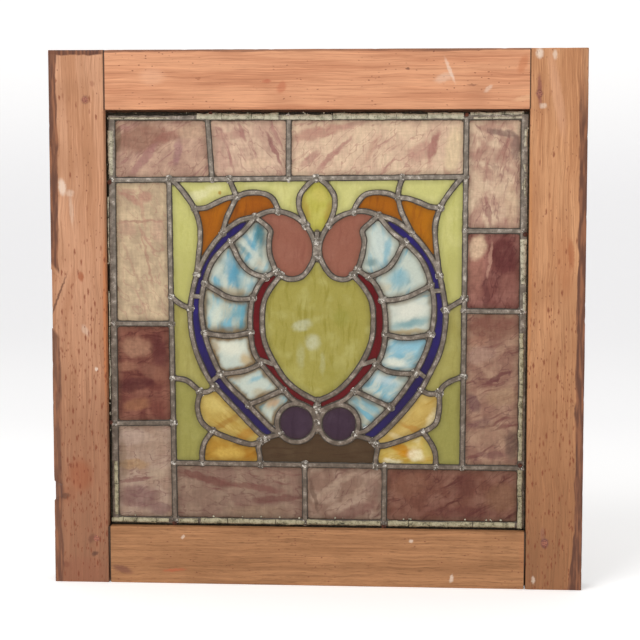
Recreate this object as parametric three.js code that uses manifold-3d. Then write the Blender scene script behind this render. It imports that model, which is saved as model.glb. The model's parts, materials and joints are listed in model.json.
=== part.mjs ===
// A leaded stained glass window in its own pine sash.
// Millimetres. X runs to the right, Z up, and the glazed front looks along -Y.
// The origin is the bottom centre of the sash.

import * as THREE from 'three';
import { mergeVertices } from 'three/addons/utils/BufferGeometryUtils.js';
import Module from 'manifold-3d';

const wasm = await Module();
wasm.setup();

// ---------------------------------------------------------------- driving dimensions

const SASH = { width: 542, height: 546, thickness: 35 };
const STILE_FACE = { left: 56.5, right: 57 };
const RAIL_FACE = { top: 60, bottom: 59 };
const REBATE_DEPTH = 16;
const LIP = 9.5;
const OVOLO = 6;
const OVOLO_STEPS = 3;
const ARRIS = 0.8;
// How far the tenon reaches into the stile, its thickness and height, where its back face lies,
// and how deep it runs into the rail behind the cope.
const TENON = { length: 38, thickness: 11, height: 40, back: 10, root: LIP + 2 * ARRIS };
const SHOULDER_GAP = { top: 0.5, bottom: 0.6, bottomOpened: 2.4 };
// Between a glazed piece and what holds it.
const GAP = 0.3;

const GLASS = 3;
const LEAF = { width: 4.8, thickness: 1 };
const HEART = 1.5;
const EDGE_LEAF = 8;
const EDGE_WEB = 1.5;
const LEAD_DEPTH = GLASS + 2 * GAP + 2 * LEAF.thickness;
// The light's own room in the rebate.
const CLEARANCE = { left: 1.5, right: 0.5, bottom: GAP, top: 2.5 };

// A pane's outline has no shorter side than this, and no corner flatter than this.
const SHORTEST_SIDE = 1;
const STRAIGHT_COSINE = Math.cos(THREE.MathUtils.degToRad(2));

const PUTTY = { width: 6, thickness: 3, shoulder: 1.4 };

const FRONT = -SASH.thickness / 2;
const BACK = SASH.thickness / 2;
const REBATE_BACK = FRONT + REBATE_DEPTH;
const LIGHT_Y = REBATE_BACK - GAP - LEAD_DEPTH / 2;

// The rebate's four sides, and the outer edges of the leaded light that stands in it.
const REBATE = {
  left: -SASH.width / 2 + STILE_FACE.left,
  right: SASH.width / 2 - STILE_FACE.right,
  bottom: RAIL_FACE.bottom,
  top: SASH.height - RAIL_FACE.top,
};
const LIGHT = {
  left: REBATE.left + CLEARANCE.left,
  right: REBATE.right - CLEARANCE.right,
  bottom: REBATE.bottom + CLEARANCE.bottom,
  top: REBATE.top - CLEARANCE.top,
};

// The cells between the edge cames' webs.
const CELLS_EDGE = {
  left: LIGHT.left + EDGE_WEB,
  right: LIGHT.right - EDGE_WEB,
  bottom: LIGHT.bottom + EDGE_WEB,
  top: LIGHT.top - EDGE_WEB,
};

// The centre line of the ornament, a little to the right of the sash's own.
const AXIS = 1;

// ---------------------------------------------------------------- materials

function finish(color, roughness, metalness = 0, opacity = 1) {
  return new THREE.MeshStandardMaterial({
    color, roughness, metalness, opacity, transparent: opacity < 1,
  });
}

const MATERIALS = {
  pine: finish(0xb8835a, 0.6),
  lead: finish(0x7a716b, 0.6, 0.6),
  putty: finish(0xc9c4b0, 0.9),
  border: finish(0xb89a86, 0.25),
  green: finish(0xb3ab68, 0.2),
  orange: finish(0xb4691c, 0.2),
  cobalt: finish(0x372c68, 0.2),
  ruby: finish(0x64252a, 0.2),
  terracotta: finish(0x96624f, 0.25),
  opal: finish(0xb9c4bd, 0.25),
  purple: finish(0x46382f, 0.2),
  yellow: finish(0xbea055, 0.2),
  brown: finish(0x4a392a, 0.25),
};

// ---------------------------------------------------------------- solids

function toSolid(geometry) {
  geometry.deleteAttribute('normal');
  geometry.deleteAttribute('uv');
  const merged = mergeVertices(geometry, 1e-4);
  return new wasm.Manifold(new wasm.Mesh({
    numProp: 3,
    vertProperties: new Float32Array(merged.attributes.position.array),
    triVerts: new Uint32Array(merged.index.array),
  }));
}

function toGeometry(solid) {
  const mesh = solid.getMesh();
  const geometry = new THREE.BufferGeometry();
  geometry.setAttribute('position', new THREE.BufferAttribute(mesh.vertProperties, 3));
  geometry.setIndex(new THREE.BufferAttribute(mesh.triVerts, 1));
  const flat = geometry.toNonIndexed();
  flat.computeVertexNormals();
  return flat;
}

function join(solids) {
  return solids.reduce((whole, piece) => whole.add(piece));
}

function box(x0, x1, y0, y1, z0, z1) {
  const geometry = new THREE.BoxGeometry(x1 - x0, y1 - y0, z1 - z0);
  geometry.translate((x0 + x1) / 2, (y0 + y1) / 2, (z0 + z1) / 2);
  return toSolid(geometry);
}

// A slab of constant section: points are [u, v] pairs, and the three axes say where u, v and
// the slab's length lie.
function slab(points, length, uAxis, vAxis, lengthAxis) {
  const shape = new THREE.Shape(points.map(([u, v]) => new THREE.Vector2(u, v)));
  return slabOfShape(shape, length, uAxis, vAxis, lengthAxis);
}

function slabOfShape(shape, length, uAxis, vAxis, lengthAxis) {
  const geometry = new THREE.ExtrudeGeometry(shape, { depth: length, bevelEnabled: false });
  geometry.applyMatrix4(new THREE.Matrix4().makeBasis(uAxis, vAxis, lengthAxis));
  return toSolid(geometry);
}

const X = new THREE.Vector3(1, 0, 0);
const Y = new THREE.Vector3(0, 1, 0);
const Z = new THREE.Vector3(0, 0, 1);
const FORWARD = new THREE.Vector3(0, -1, 0);

// ---------------------------------------------------------------- sash

// A sash member's section as [inward, y]: inward runs from the sash's outer edge to the light.
// The lip behind the rebate ends in an ovolo on the back.
function memberSection(face, inset = 0) {
  const edge = face + inset;
  const lipEdge = face + LIP + inset;
  const lipFront = REBATE_BACK - inset;
  const points = [
    [0, BACK - ARRIS], [0, FRONT + ARRIS], [ARRIS, FRONT],
    [edge - ARRIS, FRONT], [edge, FRONT + ARRIS], [edge, lipFront], [lipEdge, lipFront],
  ];
  for (let step = 0; step <= OVOLO_STEPS; step += 1) {
    const angle = (step / OVOLO_STEPS) * Math.PI / 2;
    points.push([
      lipEdge - OVOLO + OVOLO * Math.cos(angle),
      BACK + inset - OVOLO + OVOLO * Math.sin(angle),
    ]);
  }
  if (inset > 0) points.push([0, BACK + inset]);
  else points.push([ARRIS, BACK]);
  return points;
}

// side is -1 for the left stile and 1 for the right one.
function stileBlank(side, face) {
  const section = memberSection(face).map(([inward, y]) => [side * (SASH.width / 2 - inward), y]);
  return slab(section, SASH.height, X, Y, Z);
}

// The stile's inner shape, swollen by the shoulder's gap, which copes a rail's end. lean opens
// the shoulder towards the bottom of the sash.
function copeCutter(side, face, gap, lean) {
  const reach = SASH.width / 2;
  const section = memberSection(face, gap).map(([inward, y]) => [side * (reach - inward), y]);
  const swing = new THREE.Matrix4().makeRotationY(side * lean);
  const shoulder = new THREE.Vector3(side * (reach - face), 0, RAIL_FACE.bottom);
  const shape = new THREE.Shape(section.map(([x, y]) => new THREE.Vector2(x, y)));
  const geometry = new THREE.ExtrudeGeometry(shape, { depth: 3 * SASH.height, bevelEnabled: false });
  geometry.translate(-shoulder.x, 0, -shoulder.z - SASH.height);
  geometry.applyMatrix4(swing);
  geometry.translate(shoulder.x, 0, shoulder.z);
  return toSolid(geometry);
}

// The tenon's low and high corners; grown by GAP it is the mortise.
function tenonBlock(side, face, zMiddle, grow) {
  const shoulder = SASH.width / 2 - face;
  const root = shoulder - TENON.root;
  const tip = shoulder + TENON.length + grow;
  const [x0, x1] = side < 0 ? [-tip, -root] : [root, tip];
  return box(
    x0, x1,
    TENON.back - TENON.thickness - grow, TENON.back + grow,
    zMiddle - TENON.height / 2 - grow, zMiddle + TENON.height / 2 + grow,
  );
}

const RAIL_MIDDLE = { bottom: RAIL_FACE.bottom / 2, top: SASH.height - RAIL_FACE.top / 2 };

function stile(side, face) {
  let solid = stileBlank(side, face);
  for (const zMiddle of [RAIL_MIDDLE.bottom, RAIL_MIDDLE.top]) {
    solid = solid.subtract(tenonBlock(side, face, zMiddle, GAP));
  }
  return solid;
}

function rail(isTop) {
  const face = isTop ? RAIL_FACE.top : RAIL_FACE.bottom;
  const zOf = (inward) => (isTop ? SASH.height - inward : inward);
  const section = memberSection(face).map(([inward, y]) => [y, zOf(inward)]);
  const length = SASH.width - STILE_FACE.left - STILE_FACE.right;
  let solid = slab(section, length, Y, Z, X).translate(REBATE.left, 0, 0);
  const gap = isTop ? SHOULDER_GAP.top : SHOULDER_GAP.bottom;
  const opening = isTop ? 0 : SHOULDER_GAP.bottomOpened - SHOULDER_GAP.bottom;
  const lean = Math.atan2(opening, RAIL_FACE.bottom);
  const zMiddle = isTop ? RAIL_MIDDLE.top : RAIL_MIDDLE.bottom;
  for (const [side, stileFace] of [[-1, STILE_FACE.left], [1, STILE_FACE.right]]) {
    solid = solid.subtract(copeCutter(side, stileFace, gap, lean));
    solid = solid.add(tenonBlock(side, stileFace, zMiddle, 0));
  }
  return solid;
}

// Splinters lost from the left stile's outer front arris: where along the stile, how far in
// across the face, how deep at the outer edge, and how far each bites into that edge.
const LOST_SPLINTERS = [
  { z: [258, 330], across: 12, deep: 3.5, bite: 1.2 },
  { z: [83, 108], across: 9, deep: 6, bite: 2 },
];

// A long shallow wedge that tapers out at both ends, and stands proud of the wood it takes.
function splinter({ z: [zLow, zHigh], across, deep, bite }) {
  const outer = -SASH.width / 2;
  const proud = 5;
  const wedge = [
    [outer - proud, FRONT - proud], [outer + across, FRONT - proud], [outer + across, FRONT - GAP / 3],
    [outer + bite, FRONT + deep], [outer - proud, FRONT + deep + proud],
  ];
  const blank = slab(wedge, zHigh - zLow, X, Y, Z).translate(0, 0, zLow);
  const slope = (zHigh - zLow) / 4;
  const sideways = [
    [outer - proud, zLow], [outer + across, zLow + slope], [outer + across, zHigh - slope],
    [outer - proud, zHigh],
  ];
  const limit = slab(sideways, SASH.thickness, X, Z, FORWARD).translate(0, FRONT + deep + proud, 0);
  return blank.intersect(limit);
}

// ---------------------------------------------------------------- lines of the leading

// Points are [x, z], given for the left half. A third number is how many millimetres further
// out than a true mirror image the right-hand twin runs, and a fourth how much higher.
function onRight([x, z, out = 0, up = 0]) {
  return [2 * AXIS - x + out, z + up];
}

function sample(points, steps) {
  const curve = new THREE.SplineCurve(points.map(([x, z]) => new THREE.Vector2(x, z)));
  return curve.getSpacedPoints(steps).map((point) => [point.x, point.y]);
}

// The nearest place on a line of points.
function nearestOn(line, [px, pz]) {
  let best = { distance: Infinity };
  for (let i = 0; i + 1 < line.length; i += 1) {
    const [ax, az] = line[i];
    const [bx, bz] = line[i + 1];
    const along = ((px - ax) * (bx - ax) + (pz - az) * (bz - az)) / ((bx - ax) ** 2 + (bz - az) ** 2);
    const t = Math.min(1, Math.max(0, along));
    const place = [ax + t * (bx - ax), az + t * (bz - az)];
    const distance = Math.hypot(px - place[0], pz - place[1]);
    if (distance < best.distance) best = { distance, place };
  }
  return best.place;
}

// Straight cames of the border, each from one end to the other. Ends on the edge came run past it.
const PAST = {
  left: LIGHT.left - 1,
  right: LIGHT.right + 1,
  bottom: LIGHT.bottom - 1,
  top: LIGHT.top + 1,
};
const BORDER_CAMES = {
  inner_top: [[PAST.left, 415], [150.6, 418.5]],
  inner_right: [[151, PAST.top], [149.3, 122.8]],
  inner_bottom: [[-147.2, 124.2], [PAST.right, 122.8]],
  inner_left: [[-150.2, 415.6], [-146.6, PAST.bottom]],
  bar_top_1: [[-110.6, PAST.top], [-106, 416]],
  bar_top_2: [[-27.8, PAST.top], [-28, 417]],
  bar_right_1: [[150.6, 364.4], [PAST.right, 364.2]],
  bar_right_2: [[150, 283.2], [PAST.right, 283]],
  bar_bottom_1: [[-11.6, PAST.bottom], [-12, 123.8]],
  bar_bottom_2: [[69.8, PAST.bottom], [70, 123.4]],
  bar_left_1: [[PAST.left, 268.2], [-149, 268.4]],
  bar_left_2: [[PAST.left, 164.6], [-147.8, 166]],
};

const ROUNDEL = { centre: [-20.6, 167.1, 0.8, -0.7], radius: 19.9, sides: 13 };

// Where the cobalt rim, the comma and the scales run together, and the comma's other end.
const TIP = [-62.6, 377.8, -1.5, 2];
const HEEL = [-41, 322.5, -1, 2];
const KNUCKLE = [-81, 398, -0.5, -0.5];

// Curved cames of the ornament, from one end to the other, in the order in which they are led up.
// from and to name the cames that an end butts against, and steps is how finely a line is cut.
const ORNAMENT_CAMES = [
  { name: 'leaf_shoulder', steps: 2, to: 'roundel', through: [[-57, 148, 2, -2],
    [-50, 151.6, 3, -1], [-37, 155.5, 0, 0]] },
  { name: 'comma_back', steps: 10, through: [TIP, [-45, 384], [-25, 380], [-10, 368.5], [-1.8, 351],
    [-3.2, 334], [-14, 318], [-29, 315], HEEL] },
  { name: 'comma_belly', steps: 5, through: [HEEL, [-47.2, 339, -2.5, 0], [-47.8, 354, -1, 0],
    [-46.8, 364, -2, 0], [-54, 371.5, -2, 0], TIP] },
  { name: 'rim_outside', steps: 11, to: 'leaf_shoulder', through: [TIP, [-80, 373], [-100, 356.5],
    [-117, 331, 1.3, 0], [-126.3, 304], [-129.5, 275], [-124.2, 242], [-110.5, 211.5, -0.5, 0],
    [-98.5, 197.5, 3, 0], [-80, 178, 6, 0], [-61, 158, 6, 0], [-52, 151, 5, 0]] },
  { name: 'rim_inside', steps: 11, to: 'roundel', through: [TIP, [-74, 364], [-94, 347],
    [-107.5, 330, -1, 2], [-114.5, 310], [-118, 288], [-116, 265], [-109, 240], [-94.5, 211, -0.5, 0],
    [-71.5, 187, 5, 0], [-56.8, 171.5, 5, 0], [-45, 160, 4, 0], [-39.5, 156.5, 1, 0]] },
  { name: 'ruby_outside', steps: 8, to: 'lead_centre', through: [HEEL, [-54, 314.5], [-61.5, 303.5],
    [-66.5, 288, 0.5, 0], [-67.4, 265, 1.2, 0], [-63.7, 240, 1.7, 0], [-50.5, 220, 3.4, 0],
    [-32.8, 200, 3.5, 0], [-23, 190.5, 2.5, 0], [-6, 182, 1, 0], [1, 179]] },
  { name: 'ruby_inside', steps: 7, from: 'comma_back', to: 'lead_centre', through: [[-38, 316.5],
    [-47.5, 304, 0.5, 0], [-54, 289, 1, 0], [-55.3, 268, 0.8, 0], [-52.8, 250, 0.8, 0],
    [-43.8, 230, 1, 0], [-30, 210, 0, 0], [-14, 197.5, 1.5, 0], [1, 190]] },
  { name: 'leaf_under', steps: 7, through: [[-119.5, 198, 3.8, 1], [-122.6, 183, 1, 0],
    [-118.5, 167.4, 1, 0], [-106.7, 157.5, 0, 1.5], [-89.5, 150.4, 0.5, 1.5], [-68, 144.4, -1, 0],
    [-57, 148, 2, -2]] },
  { name: 'leaf_top', steps: 2, from: 'leaf_under', to: 'rim_outside', through: [
    [-119.5, 198, 3.8, 1], [-112, 198.4, 1, 0], [-105, 203, -1, 0]] },
  { name: 'leaf_lower_side', steps: 2, from: 'leaf_under', to: 'inner_bottom', through: [
    [-107.5, 157, 0, 1.5], [-114.5, 147.5, 1, 0], [-117.8, 137, 2, 0], [-118, 124, 2.5, 0]] },
  { name: 'foot_side', steps: 2, from: 'leaf_under', to: 'inner_bottom', through: [
    [-57.5, 147.5, 2, -2], [-59.6, 140.5, 1, 0], [-58.3, 133, 1, 0], [-57.5, 124, 1.2, 0]] },
  { name: 'crescent', steps: 5, from: 'inner_top', to: 'rim_outside', through: [[-147.5, 415, -2, 0],
    [-138, 406, -3, 0], [-126, 389, -1.5, 1], [-119.6, 372, -1, 0], [-118.6, 355, 0, 0],
    [-120.6, 337, 0, 0], [-122.5, 319, 1, 0]] },
  { name: 'teardrop_side', steps: 6, from: 'inner_top', to: 'comma_back', through: [[-0.5, 417],
    [-9.5, 409.5, -0.5, 1], [-16.5, 400, -0.5, 0], [-17.6, 388, -1, 0], [-14, 378.5], [-9.5, 370]] },
  { name: 'crown_side', steps: 1, from: 'inner_top', through: [[-88.5, 417, -3.5, 0],
    [-84.5, 406.5, -3, 0], KNUCKLE] },
  { name: 'hook', steps: 5, to: 'comma_back', through: [KNUCKLE, [-71, 402, -1, 0],
    [-57, 402.2, -1, 0.5], [-46.5, 398.5, -0.5, 1], [-41, 390.5, -2.5, -0.5], [-38.8, 384, -3, 0]] },
  { name: 'orange_bar', steps: 2, to: 'rim_outside', through: [KNUCKLE, [-88, 384, -4, 0],
    [-92.3, 374, -3.5, 0], [-96.5, 362, -1, 0]] },
  { name: 'orange_top', steps: 3, to: 'crescent', through: [KNUCKLE, [-91, 396.8, 0, 0],
    [-103, 391.6, 0, 1], [-113, 387, 0, 1.5], [-123.5, 386.8, 0, 0.5]] },
  { name: 'flank_top', steps: 2, from: 'inner_left', to: 'rim_outside', through: [[-149.5, 296.5, -0.5, -1],
    [-140, 289, -2, 0.5], [-129, 284]] },
  { name: 'flank_foot', steps: 2, from: 'inner_left', to: 'leaf_under', through: [[-148.5, 212.4, 0, 4],
    [-134.6, 210.2, 0, 1], [-126.5, 204.5, 0.5, 1], [-119.5, 198, 3.8, 1]] },
  { name: 'scale_bar_1', steps: 4, from: 'rim_inside', to: 'ruby_outside', through: [[-88, 353],
    [-84.5, 346, -0.5, 1], [-79, 334.5, -0.5, 1.5], [-71, 324.5, 0, 2], [-62, 319.3, 0, 2],
    [-51.5, 316.5, 0, 1]] },
  { name: 'scale_bar_2', steps: 3, from: 'rim_inside', to: 'ruby_outside', through: [[-115, 310.2, -1, -1],
    [-103, 303, 0, 0], [-90, 296, 0, 1], [-76, 293.8, 0, 0.3], [-64.5, 295, 0, -1.5]] },
  { name: 'scale_bar_3', steps: 2, from: 'rim_inside', to: 'ruby_outside', through: [[-115.5, 259.2],
    [-100, 256.8, 0, -0.5], [-85, 256.5, 0, -1], [-67, 260.2, 0, -1]] },
  { name: 'scale_bar_4', steps: 2, from: 'rim_inside', to: 'ruby_outside', through: [
    [-98.5, 216.8, 1.5, 1.5], [-83, 218.6, 0, 0.5], [-70, 221.6, 0, 0], [-57.5, 227.6, 2, 0]] },
  { name: 'scale_bar_5', steps: 1, from: 'rim_inside', to: 'ruby_outside', through: [[-70.5, 184.6, 4, -1],
    [-55, 191.4, 3, 0], [-43, 197, 3, 0], [-33.5, 201.2, 3, 0]] },
];

// Cross leads that lie over the rim and the band: leaves only, with no heart of their own here.
const CROSS_LEADS = [
  [[-127.6, 297], [-118, 296.4]],
  [[-107.6, 209.4], [-99.8, 216]],
  [[128.2, 303.9], [118.4, 303.3]],
  [[111, 215.4], [103, 221.6]],
  [[-58.2, 232.2], [-43.8, 227.4]],
  [[61, 232.6], [46, 227.6]],
];

// Solder between the commas' backs, and between the roundels up to the shield's point.
const CENTRE_LEADS = {
  lead_commas: { line: [[AXIS - 0.1, 361], [AXIS + 0.1, 336]], heart: 5 },
  lead_centre: { line: [[AXIS + 0.2, 191], [AXIS + 0.4, 160]], heart: 5.5 },
};

function circleLine([cx, cz], radius, sides) {
  const line = [];
  for (let i = 0; i <= sides; i += 1) {
    const angle = (i / sides) * 2 * Math.PI;
    line.push([cx + radius * Math.cos(angle), cz + radius * Math.sin(angle)]);
  }
  return line;
}

// Every came's centre line by name; an ornament came has a _left and a _right line.
function layOutCames() {
  const lines = { ...BORDER_CAMES };
  for (const [name, { line }] of Object.entries(CENTRE_LEADS)) lines[name] = line;
  for (const side of ['left', 'right']) {
    const place = side === 'left' ? ([x, z]) => [x, z] : onRight;
    lines[`roundel_${side}`] = circleLine(place(ROUNDEL.centre), ROUNDEL.radius, ROUNDEL.sides);
    const lineOf = (name) => lines[`${name}_${side}`] ?? lines[borderTwin(name, side)];
    for (const { name, steps, through, from, to } of ORNAMENT_CAMES) {
      const points = through.map(place);
      if (from) points[0] = nearestOn(lineOf(from), points[0]);
      if (to) points[points.length - 1] = nearestOn(lineOf(to), points.at(-1));
      lines[`${name}_${side}`] = sample(points, steps);
    }
  }
  return lines;
}

function borderTwin(name, side) {
  return name === 'inner_left' && side === 'right' ? 'inner_right' : name;
}

// ---------------------------------------------------------------- leaded light

// The outline of a strip of one width along a line of points, mitred at every bend.
function stripOutline(line, width) {
  const half = width / 2;
  const near = [];
  const far = [];
  for (let i = 0; i < line.length; i += 1) {
    const first = Math.max(1, i);
    const second = Math.min(line.length - 1, i + 1);
    const before = directionOf(line[first - 1], line[first]);
    const after = directionOf(line[second - 1], line[second]);
    const bisector = [before[0] + after[0], before[1] + after[1]];
    const size = Math.hypot(bisector[0], bisector[1]);
    const normal = [-bisector[1] / size, bisector[0] / size];
    const reach = half / (normal[0] * -after[1] + normal[1] * after[0]);
    near.push([line[i][0] + normal[0] * reach, line[i][1] + normal[1] * reach]);
    far.push([line[i][0] - normal[0] * reach, line[i][1] - normal[1] * reach]);
  }
  return [...near, ...far.reverse()];
}

function isClosed(line) {
  const [x0, z0] = line[0];
  const [x1, z1] = line.at(-1);
  return Math.hypot(x1 - x0, z1 - z0) < 1e-6;
}

// A strip of lead between two depths; y runs from back to front. A closed line gives a ring.
function strip(line, width, yBack, yFront) {
  if (!isClosed(line)) {
    return slab(stripOutline(line, width), yBack - yFront, X, Z, FORWARD).translate(0, yBack, 0);
  }
  const middle = line.slice(0, -1).reduce(([x, z], point) => [x + point[0], z + point[1]], [0, 0])
    .map((sum) => sum / (line.length - 1));
  const scaled = (factor) => line.slice(0, -1).map(([x, z]) => new THREE.Vector2(
    middle[0] + (x - middle[0]) * factor,
    middle[1] + (z - middle[1]) * factor,
  ));
  const radius = Math.hypot(line[0][0] - middle[0], line[0][1] - middle[1]);
  const ring = new THREE.Shape(scaled((radius + width / 2) / radius));
  ring.holes.push(new THREE.Path(scaled((radius - width / 2) / radius)));
  return slabOfShape(ring, yBack - yFront, X, Z, FORWARD).translate(0, yBack, 0);
}

// The light between its edge cames' webs, cut along every heart. Each cell is what a pane fills.
function glazingCells(lines) {
  const sheet = box(
    CELLS_EDGE.left, CELLS_EDGE.right, -GLASS / 2, GLASS / 2, CELLS_EDGE.bottom, CELLS_EDGE.top,
  );
  const hearts = Object.entries(lines).map(([name, line]) => (
    strip(line, CENTRE_LEADS[name]?.heart ?? HEART, GLASS, -GLASS)
  ));
  return sheet.subtract(join(hearts)).decompose();
}

// The boundary of a cell's front face as a loop of [x, z] points, without steps too small to
// matter, running anticlockwise.
function outlineOf(cell) {
  const { vertProperties, triVerts } = cell.getMesh();
  const isFront = (vertex) => vertProperties[3 * vertex + 1] < 0;
  const edges = new Map();
  for (let i = 0; i < triVerts.length; i += 3) {
    const corners = [triVerts[i], triVerts[i + 1], triVerts[i + 2]];
    if (!corners.every(isFront)) continue;
    corners.forEach((from, k) => {
      const to = corners[(k + 1) % 3];
      edges.set(`${from} ${to}`, [from, to]);
    });
  }
  const next = new Map();
  for (const [from, to] of edges.values()) {
    if (!edges.has(`${to} ${from}`)) next.set(from, to);
  }
  const start = next.keys().next().value;
  const loop = [];
  for (let vertex = next.get(start); ; vertex = next.get(vertex)) {
    loop.push([vertProperties[3 * vertex], vertProperties[3 * vertex + 2]]);
    if (vertex === start) break;
  }
  return tidyLoop(signedArea(loop) < 0 ? loop.reverse() : loop);
}

function signedArea(loop) {
  return loop.reduce((sum, [x, z], i) => {
    const [nextX, nextZ] = loop[(i + 1) % loop.length];
    return sum + (x * nextZ - nextX * z) / 2;
  }, 0);
}

// Drops corners closer together than the shortest side, then those on a straight run.
function tidyLoop(loop) {
  const spaced = loop.filter(([x, z], i) => {
    const [beforeX, beforeZ] = loop[(i + loop.length - 1) % loop.length];
    return Math.hypot(x - beforeX, z - beforeZ) > SHORTEST_SIDE;
  });
  return spaced.filter((corner, i) => {
    const before = directionOf(spaced[(i + spaced.length - 1) % spaced.length], corner);
    const after = directionOf(corner, spaced[(i + 1) % spaced.length]);
    return before[0] * after[0] + before[1] * after[1] < STRAIGHT_COSINE;
  });
}

function directionOf([ax, az], [bx, bz]) {
  const length = Math.hypot(bx - ax, bz - az);
  return [(bx - ax) / length, (bz - az) / length];
}

// A loop moved inwards, each side by its own distance. A side that the move turns round is left
// out, so an acute tip ends where its two long sides meet.
function inset(loop, distanceOf) {
  const sides = loop.map((corner, i) => {
    const end = loop[(i + 1) % loop.length];
    const [dx, dz] = directionOf(corner, end);
    const distance = distanceOf(corner, end);
    return { at: [corner[0] - dz * distance, corner[1] + dx * distance], run: [dx, dz] };
  });
  for (;;) {
    const corners = sides.map((side, i) => meeting(sides.at(i - 1), side));
    const runs = sides.map(({ run }, i) => {
      const end = corners[(i + 1) % corners.length];
      return run[0] * (end[0] - corners[i][0]) + run[1] * (end[1] - corners[i][1]);
    });
    const worst = runs.indexOf(Math.min(...runs));
    if (runs[worst] > 0) return corners;
    sides.splice(worst, 1);
  }
}

// Where two moved sides meet.
function meeting(first, second) {
  const across = first.run[0] * second.run[1] - first.run[1] * second.run[0];
  const gap = [second.at[0] - first.at[0], second.at[1] - first.at[1]];
  const along = (gap[0] * second.run[1] - gap[1] * second.run[0]) / across;
  return [first.at[0] + first.run[0] * along, first.at[1] + first.run[1] * along];
}

// How far a pane's cell moves in for the sight edge of the lead. A side on the edge came's web
// lies under its wider leaf.
function leafReach([ax, az], [bx, bz]) {
  const { left, right, bottom, top } = CELLS_EDGE;
  const near = (u, v) => Math.abs(u - v) < GAP;
  const onWeb = [left, right].some((x) => near(ax, x) && near(bx, x))
    || [bottom, top].some((z) => near(az, z) && near(bz, z));
  return onWeb ? EDGE_LEAF - EDGE_WEB : (LEAF.width - HEART) / 2;
}

function leadNet(outlines) {
  const half = LEAD_DEPTH / 2;
  const room = half - LEAF.thickness;
  let net = box(LIGHT.left, LIGHT.right, -half, half, LIGHT.bottom, LIGHT.top);
  for (const outline of outlines) {
    const sight = inset(outline, leafReach);
    const through = slab(sight, 2 * LEAD_DEPTH, X, Z, FORWARD).translate(0, LEAD_DEPTH, 0);
    const groove = slab(outline, 2 * room, X, Z, FORWARD).translate(0, room, 0);
    net = net.subtract(through.add(groove));
  }
  const crossLeads = CROSS_LEADS.flatMap((line) => [
    strip(line, LEAF.width, half, room),
    strip(line, LEAF.width, -room, -half),
  ]);
  return net.add(join(crossLeads));
}

function pane(outline) {
  const cut = inset(outline, () => GAP);
  return slab(cut, GLASS, X, Z, FORWARD).translate(0, GLASS / 2, 0);
}

// Each pane's name, its finish, and a place inside it. A pane of the ornament is named once, on
// the left, and its twin takes the same place mirrored.
const BORDER_PANES = [
  ['border_top_left', [-160, 445]],
  ['border_top_middle', [-70, 445]],
  ['border_top_right', [60, 445]],
  ['border_right_upper', [178, 420]],
  ['border_right_middle', [178, 320]],
  ['border_right_lower', [178, 200]],
  ['border_bottom_left', [-80, 95]],
  ['border_bottom_middle', [30, 95]],
  ['border_bottom_right', [140, 95]],
  ['border_left_upper', [-178, 340]],
  ['border_left_middle', [-178, 215]],
  ['border_left_lower', [-178, 110]],
];
const CENTRE_PANES = [
  ['teardrop', 'green', [AXIS, 395]],
  ['shield', 'green', [AXIS, 260]],
  ['foot', 'brown', [AXIS, 135]],
];
const PAIRED_PANES = [
  ['green_crown', 'green', [-50, 410]],
  ['green_corner', 'green', [-110, 405]],
  ['green_crescent', 'green', [-135, 350]],
  ['green_flank', 'green', [-137, 245]],
  ['green_foot', 'green', [-135, 165]],
  ['orange_outer', 'orange', [-107, 370]],
  ['orange_inner', 'orange', [-65, 390]],
  ['cobalt_rim', 'cobalt', [-122.5, 285]],
  ['ruby_band', 'ruby', [-61, 265]],
  ['comma', 'terracotta', [-25, 350]],
  ['scale_1', 'opal', [-70, 345]],
  ['scale_2', 'opal', [-90, 320]],
  ['scale_3', 'opal', [-92, 275]],
  ['scale_4', 'opal', [-88, 238]],
  ['scale_5', 'opal', [-65, 205]],
  ['scale_6', 'opal', [-48, 180]],
  ['roundel', 'purple', [ROUNDEL.centre[0], ROUNDEL.centre[1]]],
  ['leaf_upper', 'yellow', [-95, 175]],
  ['leaf_lower', 'yellow', [-85, 135]],
];

function outlineAt(cells, [x, z]) {
  const probe = box(x - 0.5, x + 0.5, -0.5, 0.5, z - 0.5, z + 0.5);
  return outlineOf(cells.find((cell) => !cell.intersect(probe).isEmpty()));
}

// ---------------------------------------------------------------- putty

// A bevelled strip of old putty on the face of an edge came, as a line of points to one side.
function puttyStrip(line) {
  const faceY = -LEAD_DEPTH / 2 - GAP;
  const bed = strip(line, PUTTY.width, faceY, faceY - PUTTY.shoulder);
  const ridge = strip(line, PUTTY.width - 2 * PUTTY.shoulder, faceY, faceY - PUTTY.thickness);
  return bed.add(ridge);
}

const PUTTY_LINE = {
  left: LIGHT.left + EDGE_LEAF / 2,
  right: LIGHT.right - EDGE_LEAF / 2,
  bottom: LIGHT.bottom + EDGE_LEAF / 2,
  top: LIGHT.top - EDGE_LEAF / 2,
};

const PUTTY_RUNS = {
  putty_top: [[-121, PUTTY_LINE.top], [146, PUTTY_LINE.top]],
  putty_lower: [
    [PUTTY_LINE.left, 125], [PUTTY_LINE.left, PUTTY_LINE.bottom],
    [PUTTY_LINE.right, PUTTY_LINE.bottom], [PUTTY_LINE.right, 262],
  ],
};

// ---------------------------------------------------------------- scene

function addMesh(group, name, solid, material) {
  const mesh = new THREE.Mesh(toGeometry(solid), material);
  mesh.name = name;
  group.add(mesh);
}

const window_ = new THREE.Group();

const sash = new THREE.Group();
const leftStile = LOST_SPLINTERS.reduce(
  (solid, loss) => solid.subtract(splinter(loss)), stile(-1, STILE_FACE.left),
);
addMesh(sash, 'stile_left', leftStile, MATERIALS.pine);
addMesh(sash, 'stile_right', stile(1, STILE_FACE.right), MATERIALS.pine);
addMesh(sash, 'rail_top', rail(true), MATERIALS.pine);
addMesh(sash, 'rail_bottom', rail(false), MATERIALS.pine);
window_.add(sash);

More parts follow.
